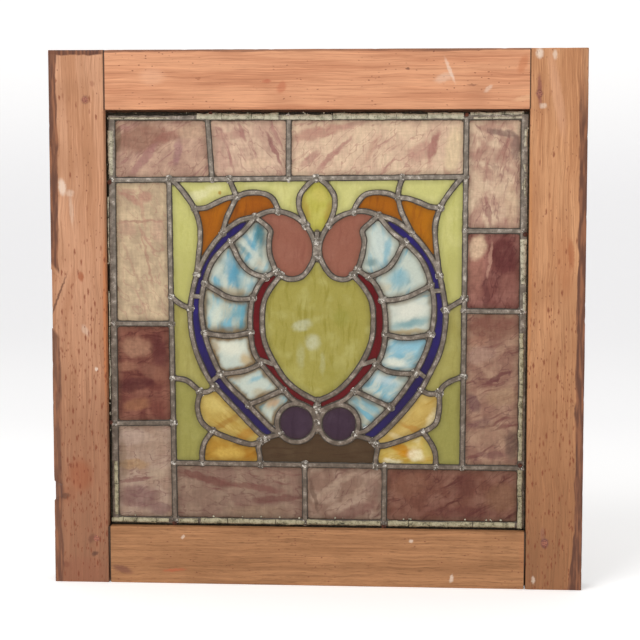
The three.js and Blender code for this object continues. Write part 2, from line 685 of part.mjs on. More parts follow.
const light = new THREE.Group();
light.position.y = LIGHT_Y;
const cells = glazingCells(layOutCames());
const panes = [
  ...BORDER_PANES.map(([name, place]) => [name, 'border', place]),
  ...CENTRE_PANES,
  ...PAIRED_PANES.flatMap(([name, tint, place]) => [
    [`${name}_left`, tint, place],
    [`${name}_right`, tint, onRight(place)],
  ]),
].map(([name, tint, place]) => ({ name, tint, outline: outlineAt(cells, place) }));
addMesh(light, 'lead_cames', leadNet(panes.map(({ outline }) => outline)), MATERIALS.lead);
for (const { name, tint, outline } of panes) addMesh(light, name, pane(outline), MATERIALS[tint]);
for (const [name, line] of Object.entries(PUTTY_RUNS)) {
  addMesh(light, name, puttyStrip(line), MATERIALS.putty);
}
window_.add(light);

export default window_;
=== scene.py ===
# The looks of an old leaded stained glass window in its pine sash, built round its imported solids.
# Plans of the leading, stains and putty are [x, z] in millimetres; everything made is in metres.
import json
import math
import random

import bmesh
import bpy
from mathutils import Matrix, Vector, kdtree, noise


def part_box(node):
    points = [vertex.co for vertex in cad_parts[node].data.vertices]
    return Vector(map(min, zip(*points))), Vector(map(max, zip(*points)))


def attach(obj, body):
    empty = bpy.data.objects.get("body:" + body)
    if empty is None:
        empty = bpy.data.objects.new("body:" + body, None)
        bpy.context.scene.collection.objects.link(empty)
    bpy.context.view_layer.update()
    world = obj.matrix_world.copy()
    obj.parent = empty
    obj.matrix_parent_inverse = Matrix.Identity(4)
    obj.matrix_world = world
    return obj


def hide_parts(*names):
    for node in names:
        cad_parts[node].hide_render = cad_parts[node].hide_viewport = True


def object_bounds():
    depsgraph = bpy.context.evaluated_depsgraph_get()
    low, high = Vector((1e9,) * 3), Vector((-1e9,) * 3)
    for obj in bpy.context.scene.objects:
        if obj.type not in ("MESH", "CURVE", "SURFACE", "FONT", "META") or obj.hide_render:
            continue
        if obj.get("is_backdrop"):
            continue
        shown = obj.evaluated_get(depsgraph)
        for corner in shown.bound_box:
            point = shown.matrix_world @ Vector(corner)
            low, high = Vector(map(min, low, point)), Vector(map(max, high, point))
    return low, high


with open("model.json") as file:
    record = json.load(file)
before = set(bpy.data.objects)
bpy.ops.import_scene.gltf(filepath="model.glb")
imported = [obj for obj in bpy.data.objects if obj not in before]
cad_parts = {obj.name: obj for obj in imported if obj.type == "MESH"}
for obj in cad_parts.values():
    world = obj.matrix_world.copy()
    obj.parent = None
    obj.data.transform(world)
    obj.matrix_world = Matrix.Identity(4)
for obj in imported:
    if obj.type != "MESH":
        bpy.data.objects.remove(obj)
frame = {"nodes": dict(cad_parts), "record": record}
cad_low, cad_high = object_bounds()

MM = 0.001
FRONT = cad_low.y
BACK = cad_high.y
TOP = cad_high.z
OUTER = cad_high.x
LIGHT_LOW, LIGHT_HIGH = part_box("lead_cames")
LIGHT_Y = (LIGHT_LOW.y + LIGHT_HIGH.y) / 2
GLASS_HALF = (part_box("shield")[1].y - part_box("shield")[0].y) / 2 / MM
JOINT = 214 * MM


# ---- shader writing

def tint(colour):
    """The light of a colour that is written as it looks, (red, green, blue) up to 255."""
    def light(value):
        value /= 255
        return value / 12.92 if value <= 0.04045 else ((value + 0.055) / 1.055) ** 2.4
    plain = not isinstance(colour, Wire) and len(colour) == 3
    return (*map(light, colour), 1.0) if plain else colour


class Wire:
    """A socket in one finish, which adds Math nodes when it is reckoned with."""

    def __init__(self, finish, socket):
        self.finish = finish
        self.socket = socket

    def math(self, operation, *values):
        return self.finish.node("Math", {"operation": operation}, dict(enumerate(values)))

    def __add__(self, other):
        return self.math("ADD", self, other)

    def __radd__(self, other):
        return self.math("ADD", other, self)

    def __sub__(self, other):
        return self.math("SUBTRACT", self, other)

    def __rsub__(self, other):
        return self.math("SUBTRACT", other, self)

    def __mul__(self, other):
        return self.math("MULTIPLY", self, other)

    def __rmul__(self, other):
        return self.math("MULTIPLY", other, self)

    def __truediv__(self, other):
        return self.math("DIVIDE", self, other)

    def __abs__(self):
        return self.math("ABSOLUTE", self)

    def most(self, other):
        return self.math("MAXIMUM", self, other)

    def wave(self):
        return self.math("SINE", self)


class Finish:
    """One procedural material in the making."""

    def __init__(self, name):
        self.material = bpy.data.materials.new(name)
        self.material.use_nodes = True
        self.tree = self.material.node_tree
        self.tree.nodes.clear()
        self.here = self.node("TexCoord", out="Object")
        parts = self.node("SeparateXYZ", {}, {0: self.here})
        outputs = parts.socket.node.outputs
        self.x, self.y, self.z = (Wire(self, outputs[axis]) for axis in "XYZ")

    def node(self, kind, settings=None, sockets=None, out=0):
        """Any node: its settings first, then the values or wires of its sockets."""
        made = self.tree.nodes.new("ShaderNode" + kind)
        for name, value in (settings or {}).items():
            setattr(made, name, value)
        for name, value in (sockets or {}).items():
            if isinstance(value, Wire):
                self.tree.links.new(value.socket, made.inputs[name])
            else:
                socket = made.inputs[name]
                socket.default_value = value[:3] if socket.type == "VECTOR" else value
        return Wire(self, made.outputs[out])

    def vector(self, operation, first, second):
        return self.node("VectorMath", {"operation": operation}, {0: first, 1: second})

    def scaled(self, vector, by):
        return self.node("VectorMath", {"operation": "SCALE"}, {0: vector, "Scale": by})

    def attribute(self, name):
        return self.node("Attribute", {"attribute_name": name}, out="Fac")

    def placed(self, size, turn=0.0, centre=(0, 0, 0), at=None):
        """Coordinates in units of size, turned in the window's plane, from a centre."""
        return self.node("Mapping", {"vector_type": "TEXTURE"}, {
            "Vector": at or self.here,
            "Location": Vector(centre),
            "Rotation": Vector((0, -math.radians(turn), 0)),
            "Scale": Vector(size),
        })

    def noise(self, size, turn=0.0, seed=0, detail=2.0, rough=0.5, at=None, distortion=0.0):
        """Cloudy 0 to 1 variation whose features are about size, in metres, along each axis."""
        size = size if isinstance(size, tuple) else (size, size, size)
        spread = (0.37 * seed, 0.11 * seed, 0.23 * seed)
        return self.node("TexNoise", {"noise_dimensions": "3D"}, {
            "Vector": self.placed(size, turn, spread, at),
            "Scale": 1.0, "Detail": detail, "Roughness": rough, "Distortion": distortion,
        })

    def step(self, value, low, high):
        """0 below low and 1 above high, eased between; low may be the greater."""
        return self.node("MapRange", {"interpolation_type": "SMOOTHSTEP"}, {
            "Value": value, "From Min": low, "From Max": high, "To Min": 0.0, "To Max": 1.0,
        })

    def spread(self, value, low, high, to_low, to_high):
        return self.node("MapRange", {}, {
            "Value": value, "From Min": low, "From Max": high, "To Min": to_low, "To Max": to_high,
        })

    def mix(self, first, second, mask):
        settings = {"data_type": "RGBA", "clamp_factor": True}
        return self.node("Mix", settings, {0: mask, 6: tint(first), 7: tint(second)}, out=2)

    def shade(self, colour, level):
        """A colour made darker or lighter by a number."""
        return self.scaled(tint(colour), level)

    def warped(self, size, reach, seed=0):
        """Coordinates pushed about by up to reach, in swirls of a size."""
        swirl = self.node("TexNoise", {"noise_dimensions": "3D"}, {
            "Vector": self.placed((size, size, size), 0.0, (0.19 * seed, 0.0, 0.31 * seed)),
            "Scale": 1.0, "Detail": 2.0,
        }, out="Color")
        centred = self.vector("SUBTRACT", swirl, (0.5, 0.5, 0.5))
        return self.vector("ADD", self.here, self.scaled(centred, 2 * reach))

    def patch(self, x, z, wide, high, turn, at, soft):
        """1 inside an oval at [x, z] and 0 outside it, all in millimetres."""
        inside = self.placed((wide * MM, 1.0, high * MM), turn, (x * MM, 0.0, z * MM), at)
        far = self.node("VectorMath", {"operation": "LENGTH"}, {0: inside}, out="Value")
        return self.step(far, 1.0 + soft / 2, 1.0 - soft / 2)

    def bump(self, height, depth, strength=1.0, over=None):
        sockets = {"Height": height, "Distance": depth, "Strength": strength}
        if over is not None:
            sockets["Normal"] = over
        return self.node("Bump", {}, sockets)

    def done(self, colour, roughness, normal=None, **sockets):
        """Closes the finish with a Principled shader."""
        sockets = {"Base Color": colour, "Roughness": roughness, **sockets}
        if normal is not None:
            sockets["Normal"] = normal
        surface = self.node("BsdfPrincipled", {}, sockets)
        output = self.tree.nodes.new("ShaderNodeOutputMaterial")
        self.tree.links.new(surface.socket, output.inputs["Surface"])
        return self.material


# ---- finishes: the sash

# Marks on a finish, here and below: x, z, half width, half height, turn, colour and strength.
PEG_RING = (96, 52, 50)
WHITE_PAINT = (232, 214, 196)
LEFT_STILE_STAINS_AND_SHADE = [
    (-215.4, 270, 1.8, 80, 0, (196, 112, 56), 0.6), (-233.5, 496, 3.4, 4.2, 0, PEG_RING, 0.75),
    (-226, 512, 2.2, 3, 0, (140, 80, 60), 0.5), (-240, 317, 2.6, 5, 10, (150, 72, 36), 0.9),
    (-259, 18, 3, 3.4, 0, (110, 58, 40), 0.7), (-229, 30, 3.4, 2.4, 20, (70, 42, 34), 0.8),
    (-232, 46, 5, 3, 60, (100, 58, 44), 0.7), (-227, 46, 3, 3, 0, (92, 52, 44), 0.5),
    (-243, 112, 12, 16, 10, (150, 74, 40), 0.6), (-256, 92, 9, 9, 0, (140, 80, 52), 0.5),
    (-258, 408, 3.5, 8, 8, WHITE_PAINT, 0.75), (-250, 402, 4, 3.5, 0, WHITE_PAINT, 0.35),
    (-249, 385, 2, 15, 4, WHITE_PAINT, 0.25), (-252, 300, 4, 30, -14, (150, 92, 58), 0.35),
    (-264, 296, 1.1, 24, -22, (84, 48, 34), 0.9), (-236, 262, 3, 6, 30, WHITE_PAINT, 0.3),
    # The dark marks at (-266, 95) and (-259, 90) are painted shade in the notch on the outer edge.
    (-225, 222, 1.6, 2, 0, WHITE_PAINT, 0.8), (-266, 95, 5, 12, 0, (84, 52, 40), 0.8),
    (-259, 90, 4, 3, 20, (64, 40, 32), 0.7), (-244, 10, 26, 16, 0, (140, 84, 62), 0.5),
]
RIGHT_STILE_STAINS = [
    (215.4, 330, 1.6, 120, 0, (190, 124, 72), 0.5), (222.8, 504, 2.2, 15, 2, (120, 62, 62), 0.8),
    (222.6, 501, 3.3, 4, 0, PEG_RING, 0.8), (222.5, 541, 3.4, 5, 0, WHITE_PAINT, 0.85),
    (237.5, 539, 2.2, 4.6, 0, WHITE_PAINT, 0.6), (226.5, 489, 3.6, 2.6, 0, WHITE_PAINT, 0.55),
    (233, 48, 3.6, 5, 0, (84, 44, 62), 0.9), (231, 58, 2.2, 6, 0, (128, 84, 76), 0.5),
    (222, 10, 1.6, 4, 0, WHITE_PAINT, 0.6), (250, 330, 8, 30, 2, (160, 90, 50), 0.4),
    (256, 342, 3, 14, 4, (150, 74, 36), 0.6), (240, 500, 5, 40, 10, (225, 172, 140), 0.4),
]
TOP_RAIL_STAINS = [
    (134, 524, 1.6, 12, 22, WHITE_PAINT, 0.55), (128, 517, 9, 4, 20, WHITE_PAINT, 0.3),
    (206, 530, 9, 4, 70, (175, 92, 48), 0.5), (210, 497, 12, 2.5, 12, (226, 180, 140), 0.5),
    (-118, 517, 2, 1.6, 0, (150, 90, 60), 0.7), (-34, 508, 4, 6, -30, (176, 92, 62), 0.6),
    (-49, 514, 4, 1.8, 0, (170, 86, 60), 0.7), (-165, 519, 12, 8, 0, (228, 178, 146), 0.4),
    (92, 526, 1.6, 1, 0, (80, 44, 36), 0.9), (156, 510, 5, 0.9, 0, (110, 66, 50), 0.7),
    (172, 506, 5, 2, 40, WHITE_PAINT, 0.4),
]
BOTTOM_RAIL_STAINS = [
    (-200, 14, 10, 3.6, -16, (104, 58, 52), 0.75), (-172, 25, 6, 2.4, 0, (120, 74, 52), 0.4),
    (-146, 14, 11, 1.6, 4, (184, 92, 60), 0.7), (-137, 49, 1.2, 2.4, -30, WHITE_PAINT, 0.6),
    (98, 48, 2, 1.6, 0, WHITE_PAINT, 0.7), (139, 10, 2, 4, -10, WHITE_PAINT, 0.7),
    (211, 36, 3, 20, 0, (176, 112, 72), 0.4),
]


def marked(finish, colour, marks, at, soft, level=1.0):
    """Oval marks over a colour, each as strong as it says times a level."""
    for x, z, wide, high, turn, shade, strength in marks:
        mask = finish.patch(x, z, wide, high, turn, at, soft) * strength
        colour = finish.mix(colour, shade, mask * level)
    return colour


def speckled(finish, size, share, seed, colour, ground, where=1.0):
    """Small dark flecks over a ground, in about a share of the cells of a size."""
    swirled = finish.warped(2.5 * MM, 0.8 * MM, seed)
    cells = {"Vector": finish.placed(size, 0.0, (0.13 * seed, 0.0, 0.29 * seed), swirled), "Scale": 1.0}
    near = finish.node("TexVoronoi", {"feature": "F1"}, cells, out="Distance")
    which = finish.node("TexVoronoi", {"feature": "F1"}, cells, out="Color")
    pick = finish.node("SeparateColor", {}, {0: which}) + where
    fleck = finish.step(near, 0.42, 0.12) * finish.step(pick, 2 - share - 0.05, 2 - share + 0.05)
    return finish.mix(ground, colour, fleck * 0.8)


RING_APART = 5.2 * MM


def pine(name, along_z, pale, warm, foot=None, stains=(), varnish=(), flecks=0.0, dashes=0.5, seed=0,
         gap=0.6, hair_length=26):
    """Old reddish pine: grain along the member, stains, flecks and what is left of its varnish, with painted
    shade deep in the rebate, towards the foot and in a few marks.
    """
    finish = Finish(name)

    def grained(across, depth, along):
        return (across * MM, depth * MM, along * MM) if along_z else (along * MM, depth * MM, across * MM)

    across = finish.x if along_z else finish.z
    bent = finish.warped(60 * MM, (5 if along_z else 2.2) * MM, seed)
    hair = finish.noise(grained(0.55, 3, hair_length), seed=seed, detail=3.0, rough=0.65, at=bent)
    fibres = finish.noise(grained(1.5, 6, 70), seed=seed + 1, detail=3.0, rough=0.6, at=bent)
    figure = finish.noise(grained(13, 40, 150), seed=seed + 2, detail=3.0, rough=0.5, at=bent)
    drift = finish.noise(75 * MM, seed=seed + 3, detail=2.0)
    rings = ((across + figure * (16 * MM)) * (2 * math.pi / RING_APART)).wave()
    # Darker towards the foot, partly as painted shade of light falling from above.
    if foot:
        above = finish.step(finish.z + (drift - 0.5) * (160 * MM), 0.02, 0.40)
        warm = finish.mix(finish.shade(foot, 0.84), warm, above)
        pale = finish.mix(foot, pale, above)
    colour = finish.mix(pale, warm, finish.step(figure, 0.36, 0.66) * 0.7)
    colour = finish.mix(colour, finish.shade(warm, 0.84), finish.step(rings, 0.5, 1.0) * 0.22)
    colour = finish.mix(colour, finish.shade(warm, 0.5), finish.step(hair, 0.52, 0.7) * dashes)
    colour = finish.mix(colour, finish.shade(warm, 0.66), finish.step(fibres, 0.54, 0.7) * 0.45)
    colour = finish.mix(colour, finish.shade(pale, 1.24), finish.step(fibres, 0.48, 0.32) * 0.5)
    colour = finish.mix(colour, finish.shade(warm, 0.78), finish.step(drift, 0.5, 0.72) * 0.4)
    ragged = finish.warped(3 * MM, 1.4 * MM, seed + 5)
    colour = marked(finish, colour, stains, ragged, 0.9, finish.spread(hair, 0.3, 0.6, 1.0, 0.7))
    cluster = finish.spread(finish.noise(34 * MM, seed=seed + 4, detail=1.0), 0.35, 0.7, 0.86, 1.04)
    colour = speckled(finish, grained(1.9, 8, 3.4), 0.10, seed, (112, 58, 42), colour, cluster)
    if flecks:
        low = finish.step(finish.z + (drift - 0.5) * (120 * MM), 0.38, 0.2)
        where = finish.spread(low, 0.0, 1.0, 0.72, 1.0)
        red = (122, 58, 34)
        colour = speckled(finish, grained(3.4, 12, 11), 0.34 * flecks, seed + 6, red, colour, where)
        colour = speckled(finish, grained(1.9, 8, 6), 0.3 * flecks, seed + 7, red, colour, where)
    varnished = None
    edge_noise = finish.noise(grained(9, 12, 30), seed=seed + 9, detail=3.0, rough=0.5)
    worn = finish.noise(grained(3, 8, 30), seed=seed + 11, detail=3.0)
    for mask_of in varnish:
        mask = mask_of(finish, (edge_noise - 0.5) * (7 * MM))
        varnished = mask if varnished is None else varnished.most(mask)
    roughness = finish.spread(hair, 0.2, 0.8, 0.56, 0.72)
    if varnished is not None:
        dark = finish.mix((92, 56, 42), (140, 90, 62), finish.step(worn, 0.4, 0.66))
        colour = finish.mix(colour, dark, varnished)
        roughness = roughness - varnished * 0.16
    # Painted shade and dirt on the wood more than 7 to 13 mm back from the front face, deep in the rebate.
    inside = finish.step(abs(finish.y - FRONT), 7 * MM, 13 * MM) * 0.6
    colour = finish.mix(colour, (70, 50, 38), inside)
    if not along_z:
        joint = finish.step(abs(finish.x), JOINT - (gap + 0.5) * MM, JOINT - gap * MM)
        colour = finish.mix(colour, (32, 22, 18), joint * 0.9)
    relief = hair * 0.5 + fibres * 0.6 + rings * 0.06
    normal = finish.bump(relief, 0.35 * MM, 0.5)
    return finish.done(colour, roughness, normal, **{"Specular IOR Level": 0.3})


def outer_strip(side, width):
    """Varnish left on a stile's outer edge; side is -1 for the left one."""
    def mask_of(finish, ragged):
        inward = OUTER - finish.x * side
        return finish.step(inward + ragged, (width + 0.7) * MM, (width - 0.7) * MM)
    return mask_of


def without_lost_varnish(inner):
    """The left strip, bare where the edge has split away and thin below that."""
    def mask_of(finish, ragged):
        line = finish.z + (finish.x + OUTER) * 1.25
        bare = finish.step(line, 0.262, 0.268) * finish.step(line, 0.334, 0.329)
        thin = finish.spread(finish.z, 0.25, 0.27, 0.75, 0.95)
        return inner(finish, ragged) * (1 - bare) * thin
    return mask_of


def top_strip(depth, inner_x, strength=1.0):
    def mask_of(finish, ragged):
        near_top = finish.step(TOP - finish.z + ragged * 0.6, (depth + 0.8) * MM, (depth - 0.8) * MM)
        return near_top * finish.step(finish.x, (inner_x + 3) * MM, (inner_x - 3) * MM) * strength
    return mask_of


def right_strip(finish, ragged):
    """The right strip fades out near the top and spreads at the foot."""
    inward = OUTER - finish.x
    width = finish.spread(finish.z, 0.0, 0.06, 15 * MM, 8.5 * MM)
    strip = finish.step(inward + ragged - width, 0.8 * MM, -0.8 * MM)
    return strip * finish.spread(finish.z, 0.47, 0.52, 0.95, 0.3)


def grainy(name, size, dark, pale, reach, roughness, relief, grain=0.7, speck=None, **sockets):
    """A dull two-tone finish, with pale specks if asked."""
    finish = Finish(name)
    fine = finish.noise(size * MM, detail=3.0, rough=grain)
    colour = finish.mix(dark, pale, finish.step(fine, *reach))
    if speck:
        colour = finish.mix(colour, speck, finish.step(fine, 0.68, 0.76) * 0.8)
    return finish.done(colour, roughness, finish.bump(fine, relief[0] * MM, relief[1]), **sockets)


# ---- finishes: lead and putty

def old_lead(name, bright):
    """Dull lead, its leaf edges dark with cement; `wear` is 0 on the crown and 1 at the edges."""
    finish = Finish(name)
    wear = finish.attribute("wear")
    cloud = finish.noise(7 * MM, detail=3.0, rough=0.6)
    fine = finish.noise(1.0 * MM, seed=3, detail=3.0, rough=0.7)
    brown = finish.step(finish.z + (cloud - 0.5) * (200 * MM), 0.42, 0.10)
    pale = finish.mix((150, 139, 126), (126, 111, 97), brown)
    dull = finish.mix((112, 102, 91), (92, 79, 67), brown)
    colour = finish.mix(dull, pale, finish.step(cloud + (fine - 0.5) * 0.5, 0.36, 0.66))
    colour = finish.mix(colour, (70, 60, 50), finish.step(fine, 0.52, 0.7) * 0.5)
    # Rubbed bright lead with painted glints, fading towards the leaf edges.
    rubbed_and_glints = finish.step(fine + cloud, 1.12, 1.26) * (1 - wear * 0.8)
    colour = finish.mix(colour, (206, 196, 184), rubbed_and_glints * bright * (1 - brown * 0.6))
    edge = finish.step(wear + (fine - 0.5) * 0.8, 0.42, 0.86)
    colour = finish.mix(colour, (54, 47, 40), edge * 0.85)
    roughness = finish.spread(fine, 0.25, 0.75, 0.38, 0.6) + edge * 0.2
    metal = (1 - edge) * 0.35
    normal = finish.bump(fine + cloud * 0.6, 0.25 * MM, 0.6)
    return finish.done(colour, roughness, normal, **{"Metallic": metal})


def solder():
    finish = Finish("old solder")
    cloud = finish.noise(3.4 * MM, detail=3.0, rough=0.6)
    fine = finish.noise(0.8 * MM, seed=5, detail=2.0)
    brown = finish.step(finish.z + (cloud - 0.5) * (200 * MM), 0.42, 0.10)
    ground = finish.mix((108, 99, 88), (88, 77, 66), brown)
    colour = finish.mix(ground, (166, 157, 145), finish.step(cloud, 0.42, 0.68))
    # Near-white flecks where both noises peak are painted glints.
    colour = finish.mix(colour, (232, 226, 216), finish.step(fine + cloud, 1.1, 1.2) * 0.9)
    colour = finish.mix(colour, (62, 54, 46), finish.step(fine, 0.44, 0.32) * 0.6)
    roughness = finish.spread(cloud, 0.3, 0.7, 0.5, 0.3)
    return finish.done(colour, roughness, finish.bump(fine, 0.2 * MM, 0.5), **{"Metallic": 0.45})


def dry_putty(name, pale, dirty, dirt):
    finish = Finish(name)
    cloud = finish.noise(8 * MM, detail=4.0, rough=0.65)
    fine = finish.noise(1.3 * MM, seed=2, detail=4.0, rough=0.7)
    colour = finish.mix(pale, dirty, finish.step(cloud, 0.4, 0.7))
    colour = finish.mix(colour, (70, 66, 52), finish.step(fine + cloud * 0.5, 0.84 - dirt, 0.98 - dirt))
    crack = abs(finish.noise(6 * MM, seed=4, detail=3.0, at=finish.warped(4 * MM, 2 * MM, 3)) - 0.5)
    colour = finish.mix(colour, (60, 54, 44), finish.step(crack, 0.012, 0.003) * 0.7)
    return finish.done(colour, 0.9, finish.bump(fine + cloud, 0.6 * MM, 0.8))


# ---- finishes: glass

# The dark of dirt and painted shade along the lead.
GRIME_AND_SHADE = (62, 52, 40)
# Pane colours are written as they look; the surface's own gleam is taken off before shading.
GLASS_LEVEL = 0.92
BORDER_WARMTH = (0.98, 0.89, 0.82)
GLEAM = (0.016, 0.016, 0.016)
DEEPEST = (0.002, 0.002, 0.002)


def finish_glass(finish, colour, grime_and_shade, rough=0.3, ripple=0.12):
    """Dirt and painted shade gathered along the lead, and the surface that all the glass shares."""
    reach = finish.attribute("from_lead")
    fine = finish.noise(1.5 * MM, seed=21, detail=3.0, rough=0.7)
    cloud = finish.noise(14 * MM, seed=22, detail=3.0)
    ragged = reach - (fine - 0.5) * 2.4 - (cloud - 0.5) * 3.0
    colour = finish.shade(colour, finish.spread(fine, 0.25, 0.75, 0.94, 1.06) * GLASS_LEVEL)
    # A wide soft band of painted shade and dirt along the lead, then a narrow band of dirt at the leaf's
    # edge.
    colour = finish.mix(colour, GRIME_AND_SHADE, finish.step(ragged, 7.0, 0.4) * (grime_and_shade * 0.4))
    colour = finish.mix(colour, GRIME_AND_SHADE, finish.step(ragged, 1.3, 0.0) * grime_and_shade)
    filled = finish.step(reach - (fine - 0.5) * 0.5, 0.25, -0.05)
    colour = finish.mix(colour, finish.mix(GRIME_AND_SHADE, (128, 117, 105), finish.step(fine, 0.4, 0.6)), filled)
    colour = finish.vector("MAXIMUM", finish.vector("SUBTRACT", colour, GLEAM), DEEPEST)
    roll = finish.noise((22 * MM, 22 * MM, 9 * MM), seed=23, detail=1.0)
    normal = finish.bump(roll + fine * 0.12, ripple * MM * 2, 0.35)
    roughness = finish.step(ragged, 2.0, 0.0) * 0.3 + rough
    return finish.done(colour, roughness, normal, **{"Specular IOR Level": 0.2})


def streaky(name, seed, ground, pale, rose, dark, flow, rose_share, dark_share, features):
    """Mottled border glass: clouds of two pales, rose streaks along the flow and dark wisps."""
    finish = Finish(name)
    swirled = finish.warped(26 * MM, 7 * MM, seed)
    cloud = finish.noise(15 * MM, seed=seed, detail=2.0, at=swirled)
    mottle = finish.noise(3.4 * MM, seed=seed + 1, detail=3.0, rough=0.6)
    sweep = finish.noise((46 * MM, 20 * MM, 5.5 * MM), flow, seed + 2, 3.0, 0.6, at=swirled)
    wisp = finish.noise((30 * MM, 20 * MM, 2.6 * MM), flow + 24, seed + 3, 3.0, 0.6, at=swirled)
    haze = finish.noise((2.6 * MM, 9 * MM, 13 * MM), 0.0, seed + 4, 2.0, 0.6)
    weft = finish.noise((15 * MM, 9 * MM, 2.2 * MM), 0.0, seed + 8, 2.0, 0.6)
    colour = finish.mix(ground, pale, finish.step(cloud, 0.36, 0.66))
    rosy = finish.step(sweep, 0.66 - 0.24 * rose_share, 0.80 - 0.16 * rose_share)
    colour = finish.mix(colour, rose, rosy * 0.9)
    darker = finish.step(wisp, 0.74 - 0.22 * dark_share, 0.88 - 0.2 * dark_share)
    colour = finish.mix(colour, dark, darker * 0.85)
    bend = finish.noise((28 * MM, 20 * MM, 11 * MM), flow + 10, seed + 9, 2.0, 0.5, at=swirled)
    colour = finish.mix(colour, dark, finish.step(abs(bend - 0.5), 0.02, 0.003) * 0.45)
    wobble = finish.warped(9 * MM, 4 * MM, seed + 6)
    colour = marked(finish, colour, features, wobble, 0.7, finish.spread(mottle, 0.3, 0.7, 0.75, 1.0))
    level = finish.spread(mottle, 0.25, 0.75, 0.93, 1.07) * finish.spread(haze, 0.25, 0.75, 0.89, 1.11)
    level = level * finish.spread(weft, 0.25, 0.75, 0.92, 1.08)
    warmed = finish.vector("MULTIPLY", colour, BORDER_WARMTH)
    return finish_glass(finish, finish.shade(warmed, level), 0.75)


def cathedral(name, body, pale, olive, seed=0, features=(), grime_and_shade=0.6, cloudy=0.5, flow=88.0):
    """One-colour glass with soft clouds and a faint rolled streak."""
    finish = Finish(name)
    swirled = finish.warped(20 * MM, 4 * MM, seed)
    cloud = finish.noise(18 * MM, seed=seed, detail=2.0, at=swirled)
    streak = finish.noise((34 * MM, 20 * MM, 4.5 * MM), flow, seed + 1, 3.0, 0.6, at=swirled)
    mottle = finish.noise(2.6 * MM, seed=seed + 2, detail=3.0, rough=0.6)
    colour = finish.mix(body, pale, finish.step(cloud, 0.45, 0.72) * cloudy)
    colour = finish.mix(colour, olive, finish.step(streak, 0.48, 0.72) * cloudy)
    wobble = finish.warped(8 * MM, 3.5 * MM, seed + 6)
    colour = marked(finish, colour, features, wobble, 1.0, finish.spread(mottle, 0.3, 0.7, 0.7, 1.0))
    colour = finish.shade(colour, finish.spread(mottle, 0.25, 0.75, 0.95, 1.05))
    return finish_glass(finish, colour, grime_and_shade)


def opalescent(name, white, blue, shadow, blueness, flow, seed, stain, features):
    """Milky scale glass: white and sky blue streaks, teal shadows and old brown stains."""
    finish = Finish(name)
    swirled = finish.warped(16 * MM, 5 * MM, seed)
    streak = finish.noise((30 * MM, 20 * MM, 8.0 * MM), flow, seed, 2.0, 0.45, at=swirled)
    thin = finish.noise((26 * MM, 20 * MM, 2.4 * MM), flow + 8, seed + 4, 2.0, 0.5, at=swirled)
    deep = finish.noise((22 * MM, 20 * MM, 8.0 * MM), flow + 14, seed + 1, 1.0, 0.5, at=swirled)
    mottle = finish.noise(2.4 * MM, seed=seed + 2, detail=3.0, rough=0.6)
    share = finish.step(streak + (thin - 0.5) * 0.35, 0.66 - 0.4 * blueness, 0.92 - 0.4 * blueness)
    colour = finish.mix(white, blue, share)
    colour = finish.mix(colour, shadow, finish.step(deep, 0.5, 0.8) * 0.55)
    wobble = finish.warped(7 * MM, 3 * MM, seed + 6)
    colour = marked(finish, colour, features, wobble, 1.3)
    reach = finish.attribute("from_lead")
    rim = finish.step(reach - (mottle - 0.5) * 3.0 - (deep - 0.5) * 6.0, 5.0, 0.6)
    colour = finish.mix(colour, (140, 112, 76), rim * stain)
    colour = finish.shade(colour, finish.spread(mottle, 0.25, 0.75, 0.95, 1.05))
    return finish_glass(finish, colour, 0.75)
